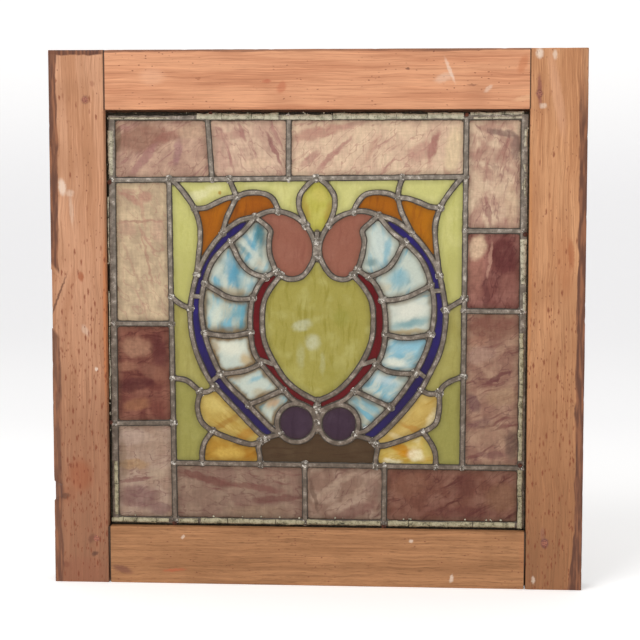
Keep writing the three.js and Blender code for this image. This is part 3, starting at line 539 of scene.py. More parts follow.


# ---- the panes' own colours

# Border panes, cut from different stretches of one streaky sheet: ground, pale, rose, dark, the
# streaks' turn, the shares of rose and dark, and marks.
# The lower panes' darker colours are partly painted shade, as less light comes through the lower glass.
BORDER_PLANS = {
    "top_left": (
        (176, 148, 134), (196, 170, 152), (154, 116, 114), (134, 98, 92), 38, 0.55, 0.35, [
            (-178, 457, 26, 13, 12, (142, 106, 94), 0.8), (-150, 459, 16, 5, 14, (148, 106, 98), 0.75),
            (-176, 436, 20, 4.5, 50, (156, 114, 116), 0.7),
            (-141, 443, 4, 13, -8, (152, 114, 122), 0.6), (-127, 464, 16, 7, 0, (196, 172, 150), 0.7),
            (-204, 458, 5, 14, 0, (112, 100, 82), 0.6),
        ]),
    "top_middle": (
        (192, 165, 150), (210, 188, 168), (172, 134, 128), (150, 110, 108), -66, 0.45, 0.2, [
            (-43, 446, 19, 2, -66, (146, 104, 104), 0.85),
            (-76, 464, 12, 2.2, -70, (158, 116, 114), 0.7), (-88, 460, 16, 4, 8, (172, 134, 126), 0.5),
            (-96, 434, 8, 12, 0, (176, 140, 132), 0.5), (-60, 432, 14, 5, 0, (214, 192, 168), 0.6),
        ]),
    "top_right": (
        (208, 184, 164), (220, 200, 176), (184, 146, 136), (164, 118, 114), 34, 0.4, 0.15, [
            (2, 463, 30, 6, 12, (170, 124, 116), 0.7), (-8, 436, 12, 4, 40, (168, 124, 120), 0.6),
            (18, 442, 26, 2.4, 44, (168, 122, 118), 0.75), (36, 470, 18, 3, 12, (178, 136, 128), 0.5),
            (118, 449, 4.2, 17, -16, (158, 108, 106), 0.9), (106, 444, 14, 9, 30, (182, 142, 132), 0.7),
            (132, 422, 8, 3, -60, (170, 126, 118), 0.6), (138, 446, 8, 22, -10, (220, 204, 172), 0.95),
            (56, 446, 3, 16, -30, (180, 140, 126), 0.4),
        ]),
    "right_upper": (
        (182, 152, 138), (214, 194, 172), (160, 122, 114), (130, 96, 96), 72, 0.6, 0.4, [
            (188, 462, 16, 3.2, -12, (112, 92, 92), 0.7), (200, 448, 5, 12, 0, (112, 92, 94), 0.6),
            (176, 440, 22, 8, -10, (158, 118, 110), 0.5), (160, 404, 9, 22, -16, (214, 196, 172), 0.7),
            (184, 404, 4, 24, 10, (206, 184, 162), 0.6), (174, 382, 2.6, 16, 12, (140, 98, 98), 0.7),
            (196, 392, 6, 22, 4, (208, 188, 162), 0.6),
        ]),
    "right_middle": (
        (126, 84, 80), (150, 108, 102), (104, 64, 64), (84, 50, 54), 64, 0.7, 0.5, [
            (162, 336, 10, 26, 0, (168, 124, 112), 0.7),
            (163, 348, 8.5, 12, -14, (216, 194, 168), 0.95), (190, 340, 14, 18, 14, (98, 58, 60), 0.8),
            (175, 334, 1.6, 18, -6, (196, 160, 144), 0.6), (196, 306, 12, 16, 0, (146, 104, 96), 0.7),
            (172, 300, 3, 16, 4, (104, 68, 68), 0.7), (160, 312, 8, 20, 0, (164, 122, 110), 0.5),
        ]),
    "right_lower": (
        (146, 114, 102), (170, 142, 124), (122, 84, 80), (100, 68, 72), 20, 0.55, 0.35, [
            (178, 266, 26, 13, 0, (122, 82, 74), 0.8), (164, 252, 10, 6, 0, (158, 116, 100), 0.5),
            (166, 238, 16, 8, 10, (172, 146, 134), 0.6), (184, 216, 17, 2.6, 28, (104, 64, 68), 0.85),
            (190, 196, 16, 10, 10, (166, 140, 116), 0.7), (160, 190, 6, 10, 30, (102, 72, 80), 0.7),
            (166, 168, 12, 5, 20, (108, 76, 80), 0.55), (176, 156, 20, 10, 0, (164, 138, 118), 0.5),
            (199, 146, 7, 16, 0, (92, 76, 72), 0.7), (180, 136, 14, 4, 0, (118, 84, 84), 0.6),
        ]),
    "bottom_left": (
        (136, 112, 102), (150, 130, 116), (118, 84, 80), (100, 66, 66), -8, 0.4, 0.3, [
            (-116, 108, 30, 4.6, -14, (112, 74, 70), 0.8), (-66, 100, 34, 3.2, -8, (116, 78, 74), 0.7),
            (-40, 88, 24, 4.2, 6, (108, 70, 68), 0.75), (-120, 88, 18, 12, 0, (142, 122, 108), 0.5),
            (-62, 74, 30, 7, 0, (146, 126, 108), 0.6), (-34, 114, 18, 5, 0, (140, 112, 102), 0.5),
        ]),
    "bottom_middle": (
        (140, 116, 104), (166, 146, 132), (120, 88, 84), (98, 68, 68), 34, 0.45, 0.35, [
            (18, 102, 26, 3, 34, (172, 154, 138), 0.7), (40, 96, 28, 2.6, 36, (166, 146, 130), 0.6),
            (-2, 90, 2.4, 18, 16, (104, 84, 74), 0.7), (40, 76, 26, 6, 20, (118, 84, 80), 0.7),
            (60, 100, 8, 12, 30, (126, 100, 92), 0.6),
        ]),
    "bottom_right": (
        (116, 80, 70), (136, 102, 90), (98, 62, 58), (84, 50, 50), 30, 0.6, 0.45, [
            (96, 104, 20, 12, 20, (132, 96, 80), 0.6), (152, 104, 12, 12, 0, (98, 62, 58), 0.6),
            (190, 92, 16, 14, 30, (136, 104, 84), 0.7), (124, 84, 26, 3, 30, (140, 104, 94), 0.5),
            (150, 76, 34, 6, 0, (104, 66, 64), 0.5),
        ]),
    "left_upper": (
        (184, 168, 144), (204, 188, 160), (186, 156, 138), (170, 130, 120), -62, 0.3, 0.1, [
            (-190, 396, 14, 3.4, -30, (172, 128, 118), 0.7),
            (-174, 398, 7, 6, 20, (172, 126, 118), 0.65), (-192, 404, 9, 3, 10, (176, 138, 126), 0.5),
            (-180, 373, 26, 1.3, 2, (160, 118, 108), 0.6), (-178, 386, 2, 22, 8, (180, 146, 130), 0.6),
            (-194, 366, 10, 6, -20, (180, 146, 132), 0.6),
            (-174, 336, 1.4, 32, 12, (166, 130, 116), 0.65),
            (-186, 320, 1.5, 36, 22, (176, 146, 128), 0.5), (-162, 364, 7, 12, 0, (188, 152, 140), 0.5),
        ]),
    "left_middle": (
        (114, 72, 66), (138, 96, 84), (94, 56, 54), (78, 44, 46), 6, 0.6, 0.5, [
            (-186, 244, 15, 10, -8, (166, 130, 110), 0.9), (-196, 224, 12, 5, 0, (156, 116, 98), 0.8),
            (-162, 240, 9, 18, 10, (92, 54, 56), 0.75), (-168, 218, 16, 6, -20, (142, 104, 90), 0.6),
            (-186, 205, 20, 7, 10, (86, 50, 52), 0.85), (-160, 214, 8, 8, 0, (136, 94, 80), 0.5),
            (-186, 184, 14, 6, 14, (148, 106, 82), 0.8), (-162, 184, 12, 8, 0, (118, 74, 66), 0.5),
        ]),
    "left_lower": (
        (160, 138, 124), (176, 158, 144), (138, 106, 100), (114, 82, 82), 4, 0.45, 0.3, [
            (-190, 150, 18, 8, 0, (178, 160, 150), 0.7), (-168, 146, 12, 14, 0, (170, 150, 134), 0.5),
            (-190, 122, 16, 5, 0, (170, 142, 106), 0.65), (-164, 112, 10, 6, 10, (176, 160, 142), 0.7),
            (-188, 106, 18, 2.2, 8, (128, 90, 88), 0.75), (-184, 88, 20, 12, 0, (122, 90, 92), 0.75),
            (-162, 76, 12, 6, 0, (124, 94, 96), 0.7), (-200, 128, 4, 20, 0, (128, 110, 92), 0.5),
        ]),
}


def border_finish(node):
    """The twelve border panes are cut from different stretches of one streaky sheet."""
    seed = len(node) * 3 + ord(node[-1]) % 7
    return streaky(node.replace("_", " ") + " glass", seed, *BORDER_PLANS[node.removeprefix("border_")])


# Pale at the top of the ornament, olive at its foot.
# The darkening from crown to foot is partly painted shade, as less light comes through the lower glass.
CROWN_GREEN = dict(body=(200, 196, 126), pale=(214, 208, 144), olive=(186, 178, 104))
CRESCENT_GREEN = dict(body=(194, 190, 118), pale=(208, 202, 138), olive=(178, 172, 98))
FLANK_GREEN = dict(body=(164, 155, 90), pale=(176, 168, 106), olive=(148, 138, 76))
FOOT_GREEN = dict(body=(152, 146, 82), pale=(164, 158, 96), olive=(138, 130, 70))
AMBER_STAIN = (168, 124, 52)


def ornament_finish(node):
    """Each pane of the ornament, by the name of its glass and its place."""
    kind, _, side = node.rpartition("_")
    left = side == "left"
    plans = {
        "green_crown": dict(seed=2 if left else 5, **CROWN_GREEN),
        "green_corner": dict(seed=7 if left else 9, **CROWN_GREEN, features=[
            (-120, 400, 12, 5, 20, (226, 220, 176), 0.7),
            (-98, 402, 1.8, 1.8, 0, AMBER_STAIN, 0.9),
            (-104, 408, 8, 4, 0, (222, 216, 170), 0.5),
        ] if left else []),
        "green_crescent": dict(seed=11 if left else 13, **CRESCENT_GREEN, features=[
            (-137 if left else 139, 318, 12, 26, 0, (172, 166, 98), 0.6)]),
        "green_flank": dict(seed=15 if left else 17, **FLANK_GREEN),
        "green_foot": dict(seed=19 if left else 22, **FOOT_GREEN),
        "orange_outer": dict(
            body=(162, 96, 30) if left else (174, 110, 18), pale=(178, 108, 28), olive=(140, 78, 24),
            seed=3, flow=80),
        "orange_inner": dict(
            body=(158, 90, 32) if left else (164, 98, 36), pale=(172, 102, 34), olive=(132, 74, 26),
            seed=6, cloudy=0.6, flow=86),
        "cobalt_rim": dict(
            body=(52, 46, 106), pale=(58, 50, 128), olive=(46, 41, 82), seed=4, cloudy=0.6, grime_and_shade=0.5,
            features=[(-90 if left else 98, 190, 50, 60, 0, (50, 42, 78), 0.8)]),
        "ruby_band": dict(
            body=(108, 34, 40), pale=(122, 40, 44), olive=(84, 28, 34), seed=8, cloudy=0.6, grime_and_shade=0.5),
        "comma": dict(
            body=(150, 98, 82), pale=(158, 108, 92), olive=(138, 86, 74), seed=12, grime_and_shade=0.45),
        "roundel": dict(body=(70, 54, 66), pale=(84, 68, 80), olive=(58, 44, 54), seed=14, grime_and_shade=0.4),
        "teardrop": dict(
            body=(186, 178, 86), pale=(200, 192, 110), olive=(168, 158, 70), seed=16, features=[
                (-12, 386, 5, 14, 10, AMBER_STAIN, 0.45),
                (14, 382, 5, 12, -10, AMBER_STAIN, 0.45),
                (4, 400, 7, 7, 0, (206, 190, 110), 0.5)]),
        "shield": dict(
            body=(162, 152, 80), pale=(178, 170, 104), olive=(146, 136, 62), seed=18, cloudy=0.8,
            flow=90, features=[
                (-14, 268, 10, 5, 10, (196, 198, 172), 0.6),
                (-4, 250, 7, 8, 0, (198, 200, 178), 0.55),
                (-16, 236, 4, 12, 0, (190, 190, 150), 0.4),
                (6, 228, 3, 10, 0, (188, 188, 148), 0.4),
                (26, 276, 9, 8, 0, (142, 138, 60), 0.6),
                (20, 214, 14, 16, 0, (148, 140, 66), 0.5),
                (-26, 214, 12, 12, 0, (176, 168, 96), 0.5)]),
        "foot": dict(
            body=(84, 66, 50), pale=(94, 76, 58), olive=(72, 54, 42), seed=20, cloudy=0.6, flow=2,
            grime_and_shade=0.4),
    }
    return cathedral(node, **plans[kind or node])


MILK = (194, 201, 188)
STAINED_MILK = (180, 184, 168)
SKY = (124, 172, 186)
DEEP_SKY = (92, 150, 174)
TEAL = (66, 112, 120)

# Scales: blueness, the streaks' turn, seed, stain and marks.
SCALE_PLANS = {
    "1_left": (0.62, 58, 30, 0.35, [
        (-58, 362, 5, 12, 0, TEAL, 0.85), (-72, 356, 3, 14, 40, DEEP_SKY, 0.6),
        (-66, 342, 3, 16, 40, MILK, 0.8), (-76, 346, 2.4, 10, 40, TEAL, 0.5),
        (-58, 330, 4, 5, 0, (190, 176, 150), 0.5)]),
    "2_left": (0.7, 70, 33, 0.4, [
        (-86, 322, 6, 16, 12, DEEP_SKY, 0.7), (-98, 318, 4, 12, 16, MILK, 0.7),
        (-74, 312, 5, 9, 10, MILK, 0.5), (-66, 306, 5, 5, 0, SKY, 0.6),
        (-84, 302, 18, 4, -6, (176, 150, 108), 0.5)]),
    "3_left": (0.7, 75, 36, 0.7, [
        (-76, 282, 12, 6, 30, (104, 158, 172), 0.8),
        (-103, 278, 7, 11, 0, (206, 212, 196), 0.9),
        (-90, 262, 22, 4, 0, (136, 112, 82), 0.6), (-74, 266, 7, 6, 0, TEAL, 0.6)]),
    "4_left": (0.12, 50, 39, 0.9, [
        (-88, 244, 16, 8, -10, (222, 220, 200), 0.8),
        (-72, 232, 6, 6, 0, (188, 156, 104), 0.7),
        (-104, 246, 5, 8, 0, (168, 140, 100), 0.6)]),
    "5_left": (0.35, 40, 42, 0.8, [
        (-66, 206, 10, 4, 30, MILK, 0.8), (-62, 212, 8, 2.4, 30, SKY, 0.7),
        (-84, 216, 8, 6, 0, (150, 120, 84), 0.7),
        (-58, 198, 8, 4, 0, (176, 150, 106), 0.5)]),
    "6_left": (0.5, 60, 45, 0.8, [
        (-60, 180, 7, 4, 60, TEAL, 0.7), (-46, 170, 5, 10, 10, (206, 208, 190), 0.7),
        (-44, 188, 8, 4, 30, (190, 150, 110), 0.7)]),
    "1_right": (0.4, 100, 48, 0.2, [
        (66, 350, 10, 18, 10, (206, 216, 208), 0.7), (72, 344, 3, 14, -10, SKY, 0.7),
        (56, 332, 6, 4, 0, TEAL, 0.6), (84, 352, 5, 8, 20, MILK, 0.7)]),
    "2_right": (0.5, 60, 51, 0.3, [
        (84, 316, 10, 10, 0, SKY, 0.7), (104, 322, 6, 12, 10, MILK, 0.8),
        (70, 306, 6, 4, 0, (196, 186, 160), 0.6)]),
    "3_right": (0.2, 14, 54, 0.45, [
        (94, 284, 20, 10, 8, (222, 220, 204), 0.8),
        (96, 270, 20, 4, 12, (120, 158, 162), 0.75),
        (92, 262, 20, 2.2, 4, (178, 146, 84), 0.6)]),
    "4_right": (0.75, 20, 57, 0.25, [
        (92, 246, 22, 7, 8, (140, 186, 202), 0.8),
        (80, 230, 14, 5, -10, (222, 222, 204), 0.85),
        (106, 240, 6, 9, 0, (150, 194, 206), 0.6)]),
    "5_right": (0.6, 40, 60, 0.3, [
        (70, 212, 12, 5, -20, (190, 204, 204), 0.7), (76, 204, 9, 4, 30, SKY, 0.6),
        (90, 214, 5, 4, 0, TEAL, 0.4)]),
    "6_right": (0.65, -40, 63, 0.35, [
        (56, 184, 10, 5, -40, (130, 168, 176), 0.7),
        (66, 172, 5, 8, -30, (150, 176, 176), 0.6)]),
}


def scale_finish(node):
    """The scales run from blue at the shoulders to stained milk at the tails."""
    ground = STAINED_MILK if node in ("scale_3_left", "scale_6_left", "scale_6_right") else MILK
    return opalescent(node.replace("_", " ") + " glass", ground, SKY, TEAL,
                      *SCALE_PLANS[node.removeprefix("scale_")])


LEAF_PLANS = {
    "leaf_upper_left": dict(
        body=(184, 156, 84), pale=(206, 182, 112), olive=(168, 132, 60), seed=24,
        flow=-36, features=[(-106, 186, 11, 9, -30, (206, 184, 110), 0.7),
                              (-94, 166, 28, 2.6, 30, (150, 104, 48), 0.6),
                              (-72, 155, 15, 5, 36, (174, 118, 46), 0.7)]),
    "leaf_upper_right": dict(
        body=(192, 162, 92), pale=(208, 182, 114), olive=(176, 140, 66), seed=26,
        flow=36, features=[(100, 186, 12, 8, -50, (202, 172, 98), 0.6),
                             (119, 172, 5, 12, -20, (226, 210, 166), 0.8),
                             (104, 160, 18, 2.6, -24, (176, 120, 50), 0.7),
                             (84, 152, 12, 3, -24, (218, 198, 150), 0.7)]),
    "leaf_lower_left": dict(
        body=(172, 130, 56), pale=(200, 164, 82), olive=(150, 106, 40), seed=28,
        flow=10, features=[(-90, 135, 15, 6, 0, (206, 172, 88), 0.8),
                             (-68, 134, 7, 8, 0, (164, 112, 42), 0.7)]),
    "leaf_lower_right": dict(
        body=(196, 168, 88), pale=(220, 204, 150), olive=(180, 140, 56), seed=31,
        flow=20, features=[(86, 143, 16, 4, -20, (184, 122, 26), 0.9),
                             (92, 136, 10, 3, -10, (196, 130, 24), 0.7),
                             (78, 128, 9, 3, 0, (234, 226, 190), 0.85),
                             (102, 135, 8, 6, -20, (236, 226, 190), 0.85),
                             (106, 125, 12, 2.5, 0, (176, 164, 80), 0.7),
                             (114, 142, 5, 8, 0, (186, 172, 96), 0.6)]),
}


def leaf_finish(node):
    return cathedral(node.replace("_", " ") + " glass", cloudy=0.8, grime_and_shade=0.6, **LEAF_PLANS[node])


# ---- making a piece

def keep_piece(name, bm, slot, finishes, replaces=(), smooth=40.0):
    """Turns a bmesh into a piece of the window that rides on the sash."""
    mesh = bpy.data.meshes.new(name)
    bm.to_mesh(mesh)
    bm.free()
    mesh.shade_smooth()
    mesh.set_sharp_from_angle(angle=math.radians(smooth))
    piece = bpy.data.objects.new(name, mesh)
    bpy.context.scene.collection.objects.link(piece)
    for finish in finishes:
        mesh.materials.append(finish)
    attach(piece, "root")
    if replaces:
        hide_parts(*replaces)
    return piece


def pour(target, part):
    """Adds one bmesh to another and frees it."""
    carrier = bpy.data.meshes.new("carrier")
    part.to_mesh(carrier)
    part.free()
    target.from_mesh(carrier)
    bpy.data.meshes.remove(carrier)


def solid_of(node):
    """The solid's own mesh, with each flat face in one piece."""
    bm = bmesh.new()
    bm.from_mesh(frame["nodes"][node].data)
    bmesh.ops.remove_doubles(bm, verts=bm.verts, dist=0.001 * MM)
    bmesh.ops.dissolve_limit(bm, angle_limit=math.radians(1), verts=bm.verts, edges=bm.edges)
    return bm


def cut_across(bm, axis, low, high, cell):
    """Cuts the mesh square to an axis, every cell or so."""
    normal = Vector((0, 0, 0))
    normal[axis] = 1.0
    cuts = max(1, round((high - low) / cell))
    for cut in range(1, cuts):
        place = Vector((0, 0, 0))
        place[axis] = low + (high - low) * cut / cuts
        geometry = bm.verts[:] + bm.edges[:] + bm.faces[:]
        bmesh.ops.bisect_plane(bm, geom=geometry, dist=0.01 * MM, plane_co=place, plane_no=normal)


def uneven(place, size, seed=0.0):
    """Smooth -1 to 1 variation over a place in metres."""
    return noise.noise(Vector(place) / size + Vector((seed, 2.3 * seed, 0.7 * seed)))


# ---- the leading's plan

AXIS = 1.0
HALF_LEAF = 2.4
EDGE_LEAF = 8.0
SIGHT = {
    "left": LIGHT_LOW.x / MM + EDGE_LEAF, "right": LIGHT_HIGH.x / MM - EDGE_LEAF,
    "bottom": LIGHT_LOW.z / MM + EDGE_LEAF, "top": LIGHT_HIGH.z / MM - EDGE_LEAF,
}
# Border cames end well inside the edge came's leaf.
UNDER = 4.0
PAST = {
    "left": SIGHT["left"] - UNDER, "right": SIGHT["right"] + UNDER,
    "bottom": SIGHT["bottom"] - UNDER, "top": SIGHT["top"] + UNDER,
}
BORDER_CAMES = {
    "inner_top": [(PAST["left"], 415), (150.6, 418.5)],
    "inner_right": [(151, PAST["top"]), (149.3, 122.8)],
    "inner_bottom": [(-147.2, 124.2), (PAST["right"], 122.8)],
    "inner_left": [(-150.2, 415.6), (-146.6, PAST["bottom"])],
    "bar_top_1": [(-110.6, PAST["top"]), (-106, 416)],
    "bar_top_2": [(-27.8, PAST["top"]), (-28, 417)],
    "bar_right_1": [(150.6, 364.4), (PAST["right"], 364.2)],
    "bar_right_2": [(150, 283.2), (PAST["right"], 283)],
    "bar_bottom_1": [(-11.6, PAST["bottom"]), (-12, 123.8)],
    "bar_bottom_2": [(69.8, PAST["bottom"]), (70, 123.4)],
    "bar_left_1": [(PAST["left"], 268.2), (-149, 268.4)],
    "bar_left_2": [(PAST["left"], 164.6), (-147.8, 166)],
}
ROUNDEL = ((-20.6, 167.1, 0.8, -0.7), 19.9)
TIP = (-62.6, 377.8, -1.5, 2)
HEEL = (-41, 322.5, -1, 2)
KNUCKLE = (-81, 398, -0.5, -0.5)
# Left-hand cames: the came that each end butts on, and the points that it runs through. A third
# and a fourth number move the right-hand twin further out and higher than a mirror image.
ORNAMENT_CAMES = {
    "leaf_shoulder": (None, "roundel", [(-57, 148, 2, -2), (-50, 151.6, 3, -1), (-37, 155.5)]),
    "comma_back": (None, None, [
        TIP, (-45, 384), (-25, 380), (-10, 368.5), (-1.8, 351), (-3.2, 334), (-14, 318),
        (-29, 315), HEEL]),
    "comma_belly": (None, None, [
        HEEL, (-47.2, 339, -2.5, 0), (-47.8, 354, -1, 0), (-46.8, 364, -2, 0),
        (-54, 371.5, -2, 0), TIP]),
    "rim_outside": (None, "leaf_shoulder", [
        TIP, (-80, 373), (-100, 356.5), (-117, 331, 1.3, 0), (-126.3, 304), (-129.5, 275),
        (-124.2, 242), (-110.5, 211.5, -0.5, 0), (-98.5, 197.5, 3, 0), (-80, 178, 6, 0),
        (-61, 158, 6, 0), (-52, 151, 5, 0)]),
    "rim_inside": (None, "roundel", [
        TIP, (-74, 364), (-94, 347), (-107.5, 330, -1, 2), (-114.5, 310), (-118, 288),
        (-116, 265), (-109, 240), (-94.5, 211, -0.5, 0), (-71.5, 187, 5, 0),
        (-56.8, 171.5, 5, 0), (-45, 160, 4, 0), (-39.5, 156.5, 1, 0)]),
    "ruby_outside": (None, "lead_centre", [
        HEEL, (-54, 314.5), (-61.5, 303.5), (-66.5, 288, 0.5, 0), (-67.4, 265, 1.2, 0),
        (-63.7, 240, 1.7, 0), (-50.5, 220, 3.4, 0), (-32.8, 200, 3.5, 0), (-23, 190.5, 2.5, 0),
        (-6, 182, 1, 0), (1, 179)]),
    "ruby_inside": ("comma_back", "lead_centre", [
        (-38, 316.5), (-47.5, 304, 0.5, 0), (-54, 289, 1, 0), (-55.3, 268, 0.8, 0),
        (-52.8, 250, 0.8, 0), (-43.8, 230, 1, 0), (-30, 210), (-14, 197.5, 1.5, 0), (1, 190)]),
    "leaf_under": (None, None, [
        (-119.5, 198, 3.8, 1), (-122.6, 183, 1, 0), (-118.5, 167.4, 1, 0),
        (-106.7, 157.5, 0, 1.5), (-89.5, 150.4, 0.5, 1.5), (-68, 144.4, -1, 0),
        (-57, 148, 2, -2)]),
    "leaf_top": ("leaf_under", "rim_outside", [
        (-119.5, 198, 3.8, 1), (-112, 198.4, 1, 0), (-105, 203, -1, 0)]),
    "leaf_lower_side": ("leaf_under", "inner_bottom", [
        (-107.5, 157, 0, 1.5), (-114.5, 147.5, 1, 0), (-117.8, 137, 2, 0), (-118, 124, 2.5, 0)]),
    "foot_side": ("leaf_under", "inner_bottom", [
        (-57.5, 147.5, 2, -2), (-59.6, 140.5, 1, 0), (-58.3, 133, 1, 0), (-57.5, 124, 1.2, 0)]),
    "crescent": ("inner_top", "rim_outside", [
        (-147.5, 415, -2, 0), (-138, 406, -3, 0), (-126, 389, -1.5, 1), (-119.6, 372, -1, 0),
        (-118.6, 355), (-120.6, 337), (-122.5, 319, 1, 0)]),
    "teardrop_side": ("inner_top", "comma_back", [
        (-0.5, 417), (-9.5, 409.5, -0.5, 1), (-16.5, 400, -0.5, 0), (-17.6, 388, -1, 0),
        (-14, 378.5), (-9.5, 370)]),
    "crown_side": ("inner_top", None, [(-88.5, 417, -3.5, 0), (-84.5, 406.5, -3, 0), KNUCKLE]),
    "hook": (None, "comma_back", [
        KNUCKLE, (-71, 402, -1, 0), (-57, 402.2, -1, 0.5), (-46.5, 398.5, -0.5, 1),
        (-41, 390.5, -2.5, -0.5), (-38.8, 384, -3, 0)]),
    "orange_bar": (None, "rim_outside", [
        KNUCKLE, (-88, 384, -4, 0), (-92.3, 374, -3.5, 0), (-96.5, 362, -1, 0)]),
    "orange_top": (None, "crescent", [
        KNUCKLE, (-91, 396.8), (-103, 391.6, 0, 1), (-113, 387, 0, 1.5), (-123.5, 386.8, 0, 0.5)]),
    "flank_top": ("inner_left", "rim_outside", [
        (-149.5, 296.5, -0.5, -1), (-140, 289, -2, 0.5), (-129, 284)]),
    "flank_foot": ("inner_left", "leaf_under", [
        (-148.5, 212.4, 0, 4), (-134.6, 210.2, 0, 1), (-126.5, 204.5, 0.5, 1),
        (-119.5, 198, 3.8, 1)]),
    "scale_bar_1": ("rim_inside", "ruby_outside", [
        (-88, 353), (-84.5, 346, -0.5, 1), (-79, 334.5, -0.5, 1.5), (-71, 324.5, 0, 2),
        (-62, 319.3, 0, 2), (-51.5, 316.5, 0, 1)]),
    "scale_bar_2": ("rim_inside", "ruby_outside", [
        (-115, 310.2, -1, -1), (-103, 303), (-90, 296, 0, 1), (-76, 293.8, 0, 0.3),
        (-64.5, 295, 0, -1.5)]),
    "scale_bar_3": ("rim_inside", "ruby_outside", [
        (-115.5, 259.2), (-100, 256.8, 0, -0.5), (-85, 256.5, 0, -1), (-67, 260.2, 0, -1)]),
    "scale_bar_4": ("rim_inside", "ruby_outside", [
        (-98.5, 216.8, 1.5, 1.5), (-83, 218.6, 0, 0.5), (-70, 221.6), (-57.5, 227.6, 2, 0)]),
    "scale_bar_5": ("rim_inside", "ruby_outside", [
        (-70.5, 184.6, 4, -1), (-55, 191.4, 3, 0), (-43, 197, 3, 0), (-33.5, 201.2, 3, 0)]),
}
CROSS_LEADS = [
    [(-127.6, 297), (-118, 296.4)],
    [(-107.6, 209.4), (-99.8, 216)],
    [(128.2, 303.9), (118.4, 303.3)],
    [(111, 215.4), (103, 221.6)],
    [(-58.2, 232.2), (-43.8, 227.4)],
    [(61, 232.6), (46, 227.6)],
]
CENTRE_LEADS = {
    "lead_commas": [(AXIS - 0.1, 363), (AXIS + 0.1, 334)],
    "lead_centre": [(AXIS + 0.2, 191), (AXIS + 0.4, 158)],
}
CAME_STEP = 2.0


def on_left(point):
    return Vector(point[:2])


def on_right(point):
    x, z, out, up = (*point, 0, 0)[:4]
    return Vector((2 * AXIS - x + out, z + up))


def smooth_line(points, spacing=CAME_STEP):
    """A Catmull-Rom line through the points, cut about every spacing."""
    line = [points[0]]
    for i in range(len(points) - 1):
        start, end = points[i], points[i + 1]
        lead_in = (end - points[max(i - 1, 0)]) / 2
        lead_out = (points[min(i + 2, len(points) - 1)] - start) / 2
        steps = max(1, round((end - start).length / spacing))
        for step in range(1, steps + 1):
            t = step / steps
            line.append(
                (2 * start - 2 * end + lead_in + lead_out) * t ** 3
                + (3 * end - 3 * start - 2 * lead_in - lead_out) * t ** 2
                + lead_in * t + start)
    return line


def nearest_on(line, point):
    best = None
    for start, end in zip(line, line[1:]):
        run = end - start
        t = min(1.0, max(0.0, (point - start).dot(run) / run.length_squared))
        place = start + run * t
        if best is None or (place - point).length < (best - point).length:
            best = place
    return best


def circle_line(centre, radius):
    sides = round(2 * math.pi * radius / CAME_STEP)
    turns = [2 * math.pi * i / sides for i in range(sides + 1)]
    return [centre + radius * Vector((math.cos(turn), math.sin(turn))) for turn in turns]


def lay_out_cames():
    """Every came's centre line by name, in millimetres, and the places where cames meet."""
    lines = {name: smooth_line([Vector(p) for p in ends]) for name, ends in BORDER_CAMES.items()}
    joints = [end for name in lines for end in (lines[name][0], lines[name][-1])]
    for name, ends in CENTRE_LEADS.items():
        lines[name] = smooth_line([Vector(p) for p in ends])
    for side, placed in (("left", on_left), ("right", on_right)):
        centre, radius = ROUNDEL
        lines["roundel_" + side] = circle_line(placed(centre), radius)

        def line_of(name):
            twin = "inner_right" if (name, side) == ("inner_left", "right") else name
            return lines.get(f"{name}_{side}") or lines[twin]

        for name, (start_on, end_on, through) in ORNAMENT_CAMES.items():
            points = [placed(point) for point in through]
            if start_on:
                points[0] = nearest_on(line_of(start_on), points[0])
            if end_on:
                points[-1] = nearest_on(line_of(end_on), points[-1])
            lines[f"{name}_{side}"] = smooth_line(points)
            joints += [points[0], points[-1]]
    return lines, joints


# ---- lead

GROOVE = GLASS_HALF + 0.3
CROWN = 3.15


def came_section(half, web=0.75, crown=CROWN):
    """An H section as (across, towards the front, wear): two crowned leaves and the web."""
    shape = [(1.0, 0.0), (0.98, 0.42), (0.82, 0.74), (0.5, 0.95), (0.17, 1.0)]
    leaf = [(half * u, GROOVE + (crown - GROOVE) * w, max(0.0, (u - 0.45) / 0.55)) for u, w in shape]
    front = leaf + [(-u, w, wear) for u, w, wear in reversed(leaf)]
    inner = [(-web, GROOVE, 1.0), (-web, -GROOVE, 1.0)]
    back = [(u, -w, wear) for u, w, wear in reversed(front)]
    return front + inner + back + [(web, -GROOVE, 1.0), (web, GROOVE, 1.0)]


def strip_section(half, low, high, fade):
    """A low ridge on the glass: (across, out, wear)."""
    return [(half, low, 1.0), (half - fade, (low + high) / 2, 1.0), (HALF_LEAF - 0.4, high, 1.0),
            (0.4 - HALF_LEAF, high, 1.0), (fade - half, (low + high) / 2, 1.0), (-half, low, 1.0)]


